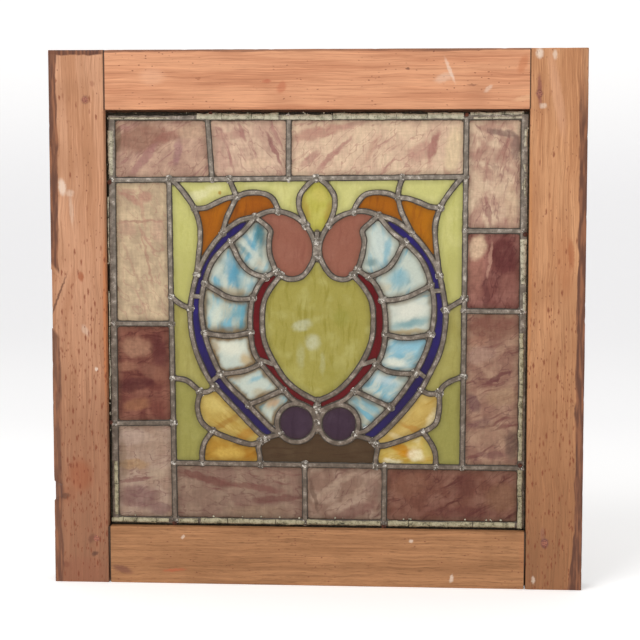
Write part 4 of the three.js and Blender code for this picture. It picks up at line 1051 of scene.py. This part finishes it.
def sweep(section, line, swell, facing=1.0):
    """Extrudes a section along a line of places in the window's plane."""
    def frame_at(i):
        before = (line[i] - line[i - 1] if i else line[1] - line[0]).normalized()
        after = (line[i + 1] - line[i] if i + 1 < len(line) else before).normalized()
        ahead = (before + after).normalized()
        mitre = 1 / max(0.5, ahead.dot(before))
        wide, tall = swell(line[i])
        across = Vector((ahead.y, 0, -ahead.x)) * (mitre * wide * MM)
        out = Vector((0, -facing, 0)) * (tall * MM)
        along = Vector((ahead.x, 0, ahead.y)) * MM
        place = Vector((line[i].x * MM, LIGHT_Y, line[i].y * MM))
        basis = Matrix((across, out, along)).transposed().to_4x4()
        return Matrix.Translation(place) @ basis

    bm = bmesh.new()
    wear_layer = bm.verts.layers.float.new("wear")
    first = frame_at(0)
    ring = [bm.verts.new(first @ Vector((across, out, 0))) for across, out, _ in section]
    for vert, (_, _, wear) in zip(ring, section):
        vert[wear_layer] = wear
    edges = [bm.edges.new(pair) for pair in zip(ring, ring[1:] + ring[:1])]
    caps = [edges]
    current = first
    for i in range(1, len(line)):
        made = bmesh.ops.extrude_edge_only(bm, edges=edges)["geom"]
        verts = [element for element in made if isinstance(element, bmesh.types.BMVert)]
        edges = [element for element in made if isinstance(element, bmesh.types.BMEdge)
                 and all(vert in verts for vert in element.verts)]
        target = frame_at(i)
        bmesh.ops.transform(bm, matrix=target @ current.inverted(), verts=verts)
        current = target
    caps.append(edges)
    if (line[0] - line[-1]).length < 1e-4:
        bmesh.ops.remove_doubles(bm, verts=bm.verts, dist=0.02 * MM)
    else:
        for rim in caps:
            bmesh.ops.contextual_create(bm, geom=rim)
    bmesh.ops.recalc_face_normals(bm, faces=bm.faces)
    return bm


def hand_worked(seed, width=0.06, height=0.07):
    """How a came swells and thins along its length."""
    def swell(place):
        spot = (place.x * MM, 0.0, place.y * MM)
        return (1 + width * uneven(spot, 9 * MM, seed) + width * 0.5 * uneven(spot, 3 * MM, seed + 4),
                1 + height * uneven(spot, 7 * MM, seed + 9))
    return swell


def make_cames(lines):
    bm = bmesh.new()
    section = came_section(HALF_LEAF)
    for number, line in enumerate(lines.values()):
        pour(bm, sweep(section, line, hand_worked(0.7 * number)))
    half = EDGE_LEAF / 2
    low_x, high_x = LIGHT_LOW.x / MM, LIGHT_HIGH.x / MM
    low_z, high_z = LIGHT_LOW.z / MM, LIGHT_HIGH.z / MM
    edge_section = came_section(half, half - 1.5, 2.9)
    sides = [
        [(low_x + half, low_z + 0.2), (low_x + half, high_z - 0.2)],
        [(high_x - half, high_z - 0.2), (high_x - half, low_z + 0.2)],
        [(low_x + 1, high_z - half), (high_x - 1, high_z - half)],
        [(high_x - 1, low_z + half), (low_x + 1, low_z + half)],
    ]
    for number, ends in enumerate(sides):
        line = smooth_line([Vector(end) for end in ends], 3.0)
        pour(bm, sweep(edge_section, line, hand_worked(31 + number, 0.03, 0.06)))
    leaf = [(u, w, wear) for u, w, wear in came_section(HALF_LEAF) if w > GROOVE - 0.01][:10]
    bridge = leaf + [(-HALF_LEAF * 0.6, GLASS_HALF + 0.05, 1.0), (HALF_LEAF * 0.6, GLASS_HALF + 0.05, 1.0)]
    for number, ends in enumerate(CROSS_LEADS):
        line = smooth_line([Vector(end) for end in ends], 1.6)
        for facing in (1.0, -1.0):
            pour(bm, sweep(bridge, line, hand_worked(51 + number), facing))
    keep_piece("came_net", bm, "lead", [old_lead("old lead came", 0.9)], ["lead_cames"], smooth=60)


def dab(target, place, reach, height, out, seed, roughness):
    """Adds a hand-dabbed lump at [x, z], out from the middle of the light; below 0 is its front."""
    bm = bmesh.new()
    bmesh.ops.create_icosphere(bm, subdivisions=3, radius=1.0)
    for vert in bm.verts:
        vert.co *= 1 + roughness * uneven(vert.co, 0.6, seed) + roughness * uneven(vert.co, 0.25, seed)
    bmesh.ops.scale(bm, vec=(reach * MM, height * MM, reach * MM), verts=bm.verts)
    bmesh.ops.translate(bm, vec=(place[0] * MM, LIGHT_Y + out * MM, place[1] * MM), verts=bm.verts)
    pour(target, bm)


def separate(places, apart):
    """The places, leaving out each that is nearer than apart to one before it."""
    chosen = []
    for place in places:
        if all((place - other).length > apart for other in chosen):
            chosen.append(place)
    return chosen


JOINTS_APART = 4.5
# Larger dabs down the middle: x, z and reach.
CENTRE_SOLDER = [(AXIS, 353, 4.4), (AXIS, 337, 3.6), (AXIS, 184, 4.2), (AXIS, 168, 3.4)]


def make_solder(joints):
    bm = bmesh.new()
    draw = random.Random(4)
    for number, place in enumerate(separate(joints, JOINTS_APART)):
        reach = draw.uniform(2.6, 3.6)
        for facing in (-1, 1):
            dab(bm, place, reach, 0.85, facing * (CROWN - 0.45), number + 0.3 * facing, 0.2)
            dab(bm, place, reach * 1.35, 1.1, facing * (GLASS_HALF - 0.2), number + 0.7 * facing, 0.16)
    for x, z, reach in CENTRE_SOLDER:
        for facing in (-1, 1):
            dab(bm, (x, z), reach, 0.95, facing * (CROWN - 0.4), x + z + facing, 0.2)
    keep_piece("solder_joints", bm, "lead", [solder()], smooth=80)


def make_cement(lines):
    """The dark cement that shows as a ragged line beside every leaf."""
    bm = bmesh.new()
    section = strip_section(HALF_LEAF + 0.55, GLASS_HALF - 0.15, GROOVE + 0.12, 0.35)
    for number, line in enumerate(lines.values()):
        for facing in (1.0, -1.0):
            ragged = hand_worked(91 + number + facing, 0.16, 0.0)
            pour(bm, sweep(section, line, ragged, facing))
    dark = grainy("dark glazing cement", 0.8, (58, 52, 46), (104, 95, 82), (0.45, 0.72), 0.85, (0.2, 0.7))
    keep_piece("glazing_cement", bm, "lead", [dark], smooth=60)


# ---- glass

PANE_CELL = 2.2 * MM


def lead_distance(lines):
    """How far a place is from the leaves' edges, in millimetres; below 0 where solder fills a corner."""
    fine = [(point, number) for number, line in enumerate(lines.values())
            for a, b in zip(line, line[1:]) for point in (a, (a + b) / 2)]
    tree = kdtree.KDTree(len(fine))
    for i, (point, _) in enumerate(fine):
        tree.insert((point.x, point.y, 0.0), i)
    tree.balance()

    def distance(x, z, fillet):
        gaps = {"left": x - SIGHT["left"], "right": SIGHT["right"] - x,
                "bottom": z - SIGHT["bottom"], "top": SIGHT["top"] - z}
        for _, i, far in tree.find_n((x, z, 0.0), 18):
            line = fine[i][1]
            gaps[line] = min(gaps.get(line, 99.0), far - HALF_LEAF)
        nearest, second = sorted(max(0.0, gap) for gap in gaps.values())[:2]
        if second > fillet:
            return nearest
        return fillet - math.hypot(fillet - nearest, fillet - second)
    return distance


def make_pane(node, finish, distance, seed):
    """A pane of the solid's own outline, cut finely enough to roll and to gather dirt and painted shade."""
    bm = solid_of(node)
    low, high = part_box(node)
    small = max(high.x - low.x, high.z - low.z) < 75 * MM
    fillet = 5.0 if slot_of(node) == "opal" else 3.2
    for axis in (0, 2):
        cut_across(bm, axis, low[axis], high[axis], PANE_CELL * (0.65 if small else 1.0))
    reach = bm.verts.layers.float.new("from_lead")
    for vert in bm.verts:
        vert[reach] = distance(vert.co.x / MM, vert.co.z / MM, fillet)
        roll = 0.12 * uneven(vert.co, 17 * MM, seed) + 0.05 * uneven(vert.co, 6 * MM, seed + 3)
        outward = -1 if vert.co.y < LIGHT_Y else 1
        vert.co.y += outward * (roll - 0.14) * MM
    keep_piece("pane_" + node, bm, slot_of(node), [finish], [node], smooth=30)


def slot_of(node):
    return next(part["material_slot"] for part in frame["record"]["subparts"] if part["node"] == node)


def make_glass(lines):
    distance = lead_distance(lines)
    kinds = {"border": border_finish, "opal": scale_finish, "yellow": leaf_finish}
    glazed = [part["node"] for part in frame["record"]["subparts"]
              if part["material_slot"] not in ("pine", "lead", "putty")]
    for number, node in enumerate(sorted(glazed)):
        finish = kinds.get(slot_of(node), ornament_finish)(node)
        make_pane(node, finish, distance, 1.7 * number)


# ---- the sash

LENGTH_CELL = 4.0 * MM
FACE_CELL = 7.0 * MM
CORNER_ROUND = 2.6 * MM
ARRIS_ROUND = 0.35 * MM
FACE_DEEP = 1.2 * MM


def on_outer_corner(vert):
    at_end = vert.co.z < 3 * MM or vert.co.z > TOP - 3 * MM
    return at_end and abs(vert.co.x) > OUTER - 6 * MM


def on_a_face(vert):
    return vert.co.y < FRONT + FACE_DEEP or vert.co.y > BACK - FACE_DEEP


def soften(bm, edges, offset, segments):
    bmesh.ops.bevel(bm, geom=edges, offset=offset, offset_type="OFFSET", affect="EDGES",
                    segments=segments, profile=0.5, material=-1, clamp_overlap=True)


def make_member(node, finish, along, seed):
    """A sash member with rounded corners, softened arrises and a worn, uneven face."""
    bm = solid_of(node)
    corners = [edge for edge in bm.edges if all(map(on_outer_corner, edge.verts))
               and abs(edge.verts[0].co.y - edge.verts[1].co.y) > 5 * MM]
    if corners:
        soften(bm, corners, CORNER_ROUND, 4)
    arrises = [edge for edge in bm.edges if all(map(on_a_face, edge.verts))
               and len(edge.link_faces) == 2 and edge.calc_face_angle(0) > math.radians(30)]
    soften(bm, arrises, ARRIS_ROUND, 2)
    low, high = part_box(node)
    across = 0 if along == 2 else 2
    cut_across(bm, along, low[along], high[along], LENGTH_CELL)
    cut_across(bm, across, low[across], high[across], FACE_CELL)
    for vert in bm.verts:
        place = vert.co.copy()
        wave = 0.5 + 0.5 * uneven(place, 38 * MM, seed)
        fine = 0.5 + 0.5 * uneven(place, 9 * MM, seed + 5)
        nick = max(0.0, uneven(place, 8 * MM, seed + 8) - 0.28) * 2.2
        if on_a_face(vert):
            vert.co.y += math.copysign((0.03 + 0.16 * wave + 0.06 * fine) * MM, -place.y)
        at_side = abs(place.x) > OUTER - 1.0 * MM
        if at_side:
            vert.co.x -= math.copysign((0.05 + 0.3 * wave + 0.5 * nick) * MM, place.x)
        if place.z > TOP - 1.0 * MM:
            vert.co.z -= (0.04 + 0.2 * wave + 0.35 * nick) * MM
        vert.co.z = max(vert.co.z, cad_low.z + 0.02 * MM)
        on_front_arris = FRONT + 0.2 * MM < place.y < FRONT + FACE_DEEP
        if on_front_arris and not at_side:
            vert.co.y += 0.3 * nick * MM
    keep_piece(node + "_worn", bm, "pine", [finish], [node], smooth=28)


def make_sash():
    # The bottom rail and the stiles' feet are darker than the top rail, partly as painted shade of light
    # falling from above.
    left_varnish = [without_lost_varnish(outer_strip(-1, 8.5)), top_strip(5.0, -215)]
    left = pine("left stile pine", True, (198, 147, 114), (170, 116, 80), (152, 104, 76),
                LEFT_STILE_STAINS_AND_SHADE, left_varnish, flecks=1.0, dashes=0.25, seed=1)
    right = pine("right stile pine", True, (202, 148, 106), (168, 111, 72), (156, 106, 70),
                 RIGHT_STILE_STAINS, [right_strip], flecks=1.0, dashes=0.45, seed=2)
    top = pine("top rail pine", False, (212, 152, 114), (182, 118, 84), None,
               TOP_RAIL_STAINS, [top_strip(2.3, 400, 0.7)], dashes=0.35, seed=3)
    bottom = pine("bottom rail pine", False, (174, 124, 84), (144, 98, 62), None,
                  BOTTOM_RAIL_STAINS, dashes=0.7, seed=4, gap=1.5, hair_length=11)
    members = {"stile_left": (left, 2), "stile_right": (right, 2), "rail_top": (top, 0),
               "rail_bottom": (bottom, 0)}
    for number, (node, (finish, along)) in enumerate(members.items()):
        make_member(node, finish, along, number + 1.0)


PEG_LONG = 6.0
PEG_SUNK = 0.05
# The pegs' ends: x, z and radius.
PEGS = [(-233.5, 496, 3.2), (222.6, 501, 3.0), (-227, 46, 3.2), (233, 48, 3.2)]


def make_pegs():
    bm = bmesh.new()
    for x, z, radius in PEGS:
        peg = bmesh.new()
        bmesh.ops.create_cone(peg, cap_ends=True, segments=24, radius1=radius * MM,
                              radius2=radius * MM, depth=PEG_LONG * MM)
        rims = [edge for edge in peg.edges if edge.calc_face_angle(0) > 1.0]
        soften(peg, rims, 0.25 * MM, 2)
        bmesh.ops.rotate(peg, verts=peg.verts, matrix=Matrix.Rotation(math.pi / 2, 3, "X"))
        middle = FRONT + (PEG_LONG / 2 + PEG_SUNK) * MM
        bmesh.ops.translate(peg, verts=peg.verts, vec=(x * MM, middle, z * MM))
        for vert in peg.verts:
            vert.co.x += 0.12 * MM * uneven(vert.co, 2 * MM, x)
        pour(bm, peg)
    end = grainy("peg end grain", 1.1, (120, 68, 56), (176, 112, 84), (0.35, 0.7), 0.7, (0.2, 0.6), 0.5)
    keep_piece("draw_pegs", bm, "pine", [end], smooth=50)


# ---- putty and nails

LEAD_FACE = 2.75
# Runs of putty: from, to, half width, height on the lead.
TOP_PUTTY = [((-121, 479.6), (-38, 479.2), 3.0, 2.2), ((-36, 478.4), (16, 478.6), 2.5, 1.5),
             ((17, 479.4), (148, 479.4), 3.1, 2.3)]
LOWER_PUTTY = [
    ((-207.6, 125), (-207.2, 69.5), 2.1, 1.9),
    ((-212.2, 64.2), (-153, 63.8), 2.6, 2.8), ((-142.5, 63.6), (-122.5, 63.8), 2.5, 2.6),
    ((-119.5, 64.0), (-12, 63.8), 2.7, 2.8), ((-9.5, 63.9), (66, 63.7), 2.4, 2.5),
    ((74, 63.8), (203, 64.1), 2.8, 2.8), ((208.3, 61.2), (208.1, 121), 2.6, 2.6),
    ((207.9, 131), (208.1, 196), 2.4, 2.5), ((208.2, 197), (208.3, 261), 2.5, 2.4),
]
PUTTY_REMAINS = [
    ((-209.8, 465), (-209.6, 420), 2.9, 2.0), ((-212.6, 478), (-150, 477.5), 1.0, 0.9),
    ((209.0, 356), (209.4, 311), 3.0, 1.8), ((210.4, 302), (210.8, 284), 1.7, 1.3),
    ((210.6, 466), (210.2, 449), 1.5, 1.6), ((209.0, 431), (210.6, 424), 1.2, 1.4),
    ((209.6, 417), (210.4, 399), 1.1, 1.3), ((207.4, 412), (207.2, 406), 0.8, 1.0),
    ((155, 481.6), (208, 482.4), 1.5, 1.3), ((158, 477.4), (206, 477.8), 1.1, 0.9),
    ((-213.0, 398), (-212.6, 330), 0.8, 1.1), ((-213.0, 300), (-212.8, 190), 0.7, 1.0),
]
NAILS = [(-211, 413), (-213, 165.5), (210.5, 361), (208, 126), (-147, 60.8), (69.6, 60.6),
         (-107, 482), (151, 480.6)]


def putty_section(half, height):
    shape = [(1.0, 0.0), (0.95, 0.5), (0.62, 0.92), (0.1, 1.0), (-0.45, 0.86), (-0.9, 0.46),
             (-1.0, 0.0)]
    return [(half * u, LEAD_FACE + height * w, 0.0) for u, w in shape]


def putty_run(bm, run, seed):
    """A run of old putty, cracked into lengths that have each shifted and lost an edge."""
    start, end, half, height = run
    start, end = Vector(start), Vector(end)
    draw = random.Random(seed)
    length = (end - start).length
    ahead = (end - start) / length
    side = Vector((-ahead.y, ahead.x))
    here = 0.0
    while here < length - 1.5:
        reach = min(length, here + draw.uniform(9, 44))
        if length - reach < 5:
            reach = length
        shift = side * draw.uniform(-0.25, 0.25)
        size = draw.uniform(0.86, 1.04)
        rise = draw.uniform(0.8, 1.0)
        line = smooth_line([start + ahead * here + shift, start + ahead * reach + shift], 1.3)
        line = [at + side * 0.5 * uneven((at.x, 0, at.y), 9, seed) for at in line]
        section = putty_section(half * size, height * rise)
        part = sweep(section, line, hand_worked(seed + here, 0.26, 0.06))
        for vert in part.verts:
            lift = uneven(vert.co, 2.2 * MM, seed) * 0.22 + uneven(vert.co, 6 * MM, seed + 2) * 0.2
            if vert.co.y < LIGHT_Y - (LEAD_FACE + 0.4) * MM:
                vert.co.y += (lift + 0.1) * MM
            vert.co.x += 0.2 * MM * uneven(vert.co, 1.8 * MM, seed + 5)
            vert.co.z += 0.2 * MM * uneven(vert.co, 1.8 * MM, seed + 7)
        pour(bm, part)
        here = reach + draw.uniform(0.25, 0.9)


def putty_bed(runs, seed):
    bm = bmesh.new()
    for number, run in enumerate(runs):
        putty_run(bm, run, seed + number)
    return bm


def make_putty():
    head = dry_putty("head putty", (196, 190, 166), (150, 148, 124), 0.02)
    keep_piece("putty_bed_top", putty_bed(TOP_PUTTY, 11), "putty", [head], ["putty_top"])
    sill = dry_putty("sill putty", (180, 170, 140), (134, 124, 94), 0.06)
    keep_piece("putty_bed_lower", putty_bed(LOWER_PUTTY, 31), "putty", [sill], ["putty_lower"])
    remains = putty_bed(PUTTY_REMAINS, 61)
    draw = random.Random(9)
    for number in range(70):
        along = draw.random()
        spot = draw.choice([
            (-213.4 + draw.random(), 130 + 330 * along), (212.6 - 3 * draw.random(), 265 + 215 * along),
            (-210 + 420 * along, 483.2 - 1.5 * draw.random()), (-205 + 405 * along, 68.2 + draw.random()),
        ])
        reach, height = draw.uniform(0.35, 0.95), draw.uniform(0.3, 0.7)
        dab(remains, spot, reach, height, -LEAD_FACE - 0.1, number, 0.3)
    broken = dry_putty("broken putty", (198, 190, 166), (140, 134, 112), 0.06)
    keep_piece("putty_remains", remains, "putty", [broken])


def make_rebate_shadow_and_dirt():
    """Black dirt and painted shadow in the gap between the light and the wood, widest at the head."""
    bm = bmesh.new()
    left, right = LIGHT_LOW.x / MM + 0.5, LIGHT_HIGH.x / MM - 0.4
    low, high = LIGHT_LOW.z / MM + 0.9, LIGHT_HIGH.z / MM - 1.5
    sides = [((left, low), (left, high), 0.9), ((right, low), (right, high), 0.9),
             ((left, high), (right, high), 1.7), ((left, low), (right, low), 1.1),
             ((-214, 481.4), (-130, 481.4), 1.6)]
    for number, (start, end, half) in enumerate(sides):
        line = smooth_line([Vector(start), Vector(end)], 1.5)
        section = [(half, 2.7, 0.0), (half * 0.5, 3.15, 0.0), (-half * 0.5, 3.15, 0.0), (-half, 2.7, 0.0)]
        pour(bm, sweep(section, line, hand_worked(131 + 3 * number, 0.45, 0.04)))
    # Its near-black colour is partly dirt and partly painted shadow in the gap.
    dirt = grainy("black rebate dirt", 1.4, (34, 30, 24), (74, 68, 52), (0.48, 0.68), 0.92, (0.4, 0.8),
                  speck=(150, 142, 112), **{"Specular IOR Level": 0.2})
    keep_piece("rebate_grime", bm, "putty", [dirt], smooth=60)


def make_nails():
    bm = bmesh.new()
    for number, (x, z) in enumerate(NAILS):
        dab(bm, (x, z), 2.3, 1.1, -LEAD_FACE - 0.5, 3.1 * number, 0.2)
    rust = grainy("rusty nail", 1.2, (62, 36, 30), (132, 74, 48), (0.4, 0.7), 0.85, (0.4, 0.8), Metallic=0.2)
    keep_piece("glazing_nails", bm, "lead", [rust], smooth=60)


# ---- studio

def backdrop_finish():
    """White paper, with painted shade making it greyer and its glow dimmer where it curves up behind the
    window.
    """
    finish = Finish("studio paper")
    near = finish.step(finish.y, 0.5, 1.2)
    far = finish.step(finish.y, 1.2, 3.1)
    # Where the paper curves up, its greyer colour and dimmer glow are painted shade.
    curve = (near * 0.5 + far * 0.5) * finish.step(finish.z, 0.88, 0.25)
    colour = finish.mix((250, 249, 248), (236, 235, 236), curve)
    glow = finish.mix((0.3, 0.3, 0.3, 1.0), (0.24, 0.24, 0.24, 1.0), curve)
    return finish.done(colour, 0.95, **{"Specular IOR Level": 0.0, "Emission Color": glow,
                                        "Emission Strength": 1.0})


PAPER_HALF = 4.5
SWEEP_FROM = 2.4
SWEEP_RADIUS = 1.2


def make_backdrop():
    """A floor that curves up into a wall behind the window."""
    bm = bmesh.new()
    bmesh.ops.create_grid(bm, x_segments=2, y_segments=60, size=PAPER_HALF)
    for vert in bm.verts:
        past = vert.co.y - SWEEP_FROM
        if past > 0:
            turn = min(past / SWEEP_RADIUS, math.pi / 2)
            rise = past - turn * SWEEP_RADIUS
            vert.co.y = SWEEP_FROM + SWEEP_RADIUS * math.sin(turn)
            vert.co.z = SWEEP_RADIUS * (1 - math.cos(turn)) + rise
        vert.co.z += cad_low.z - 0.2 * MM
    mesh = bpy.data.meshes.new("studio_paper")
    bm.to_mesh(mesh)
    bm.free()
    mesh.shade_smooth()
    backdrop = bpy.data.objects.new("studio_paper", mesh)
    bpy.context.scene.collection.objects.link(backdrop)
    mesh.materials.append(backdrop_finish())
    backdrop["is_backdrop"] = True


def aim(thing, place, at):
    thing.location = place
    thing.rotation_euler = (Vector(at) - Vector(place)).to_track_quat("-Z", "Y").to_euler()
    bpy.context.scene.collection.objects.link(thing)


SKY_LEVEL = 0.62
# Lights: name, place, size and power.
LIGHTS = [("key", (-0.9, -1.5, 2.0), 1.1, 24.0), ("fill", (1.7, -2.0, 0.9), 1.6, 5.0)]


def make_lights():
    scene = bpy.context.scene
    scene.world = bpy.data.worlds.new("studio")
    scene.world.use_nodes = True
    background = scene.world.node_tree.nodes["Background"]
    background.inputs["Color"].default_value = (1.0, 1.0, 1.0, 1.0)
    background.inputs["Strength"].default_value = SKY_LEVEL
    middle = (0.0, 0.0, TOP / 2)
    for name, place, size, power in LIGHTS:
        light = bpy.data.lights.new(name, "AREA")
        light.size = size
        light.energy = power
        aim(bpy.data.objects.new(name, light), place, middle)


# The camera looks at a point on the sash's face from a little right of it and above.
LOOK_AT = Vector((4.6 * MM, FRONT, 274.2 * MM))
CAMERA_FAR = 1.7202
CAMERA_RIGHT = math.radians(4.044)
CAMERA_ABOVE = math.radians(5.287)
LENS = 95.6


def make_camera():
    camera = bpy.data.cameras.new("camera")
    camera.lens = LENS
    thing = bpy.data.objects.new("camera", camera)
    flat = math.cos(CAMERA_ABOVE)
    back = Vector((math.sin(CAMERA_RIGHT) * flat, -math.cos(CAMERA_RIGHT) * flat, math.sin(CAMERA_ABOVE)))
    aim(thing, LOOK_AT + back * CAMERA_FAR, LOOK_AT)
    bpy.context.scene.camera = thing
    bpy.context.scene.view_settings.view_transform = "Standard"


make_camera()
make_lights()
make_backdrop()
came_lines, came_joints = lay_out_cames()
make_sash()
make_pegs()
make_glass(came_lines)
make_cames(came_lines)
make_solder(came_joints)
make_cement(came_lines)
make_putty()
make_rebate_shadow_and_dirt()
make_nails()

boxes = {"cad": (cad_low, cad_high), "visual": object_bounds()}
{name: [list(corner) for corner in box] for name, box in boxes.items()}
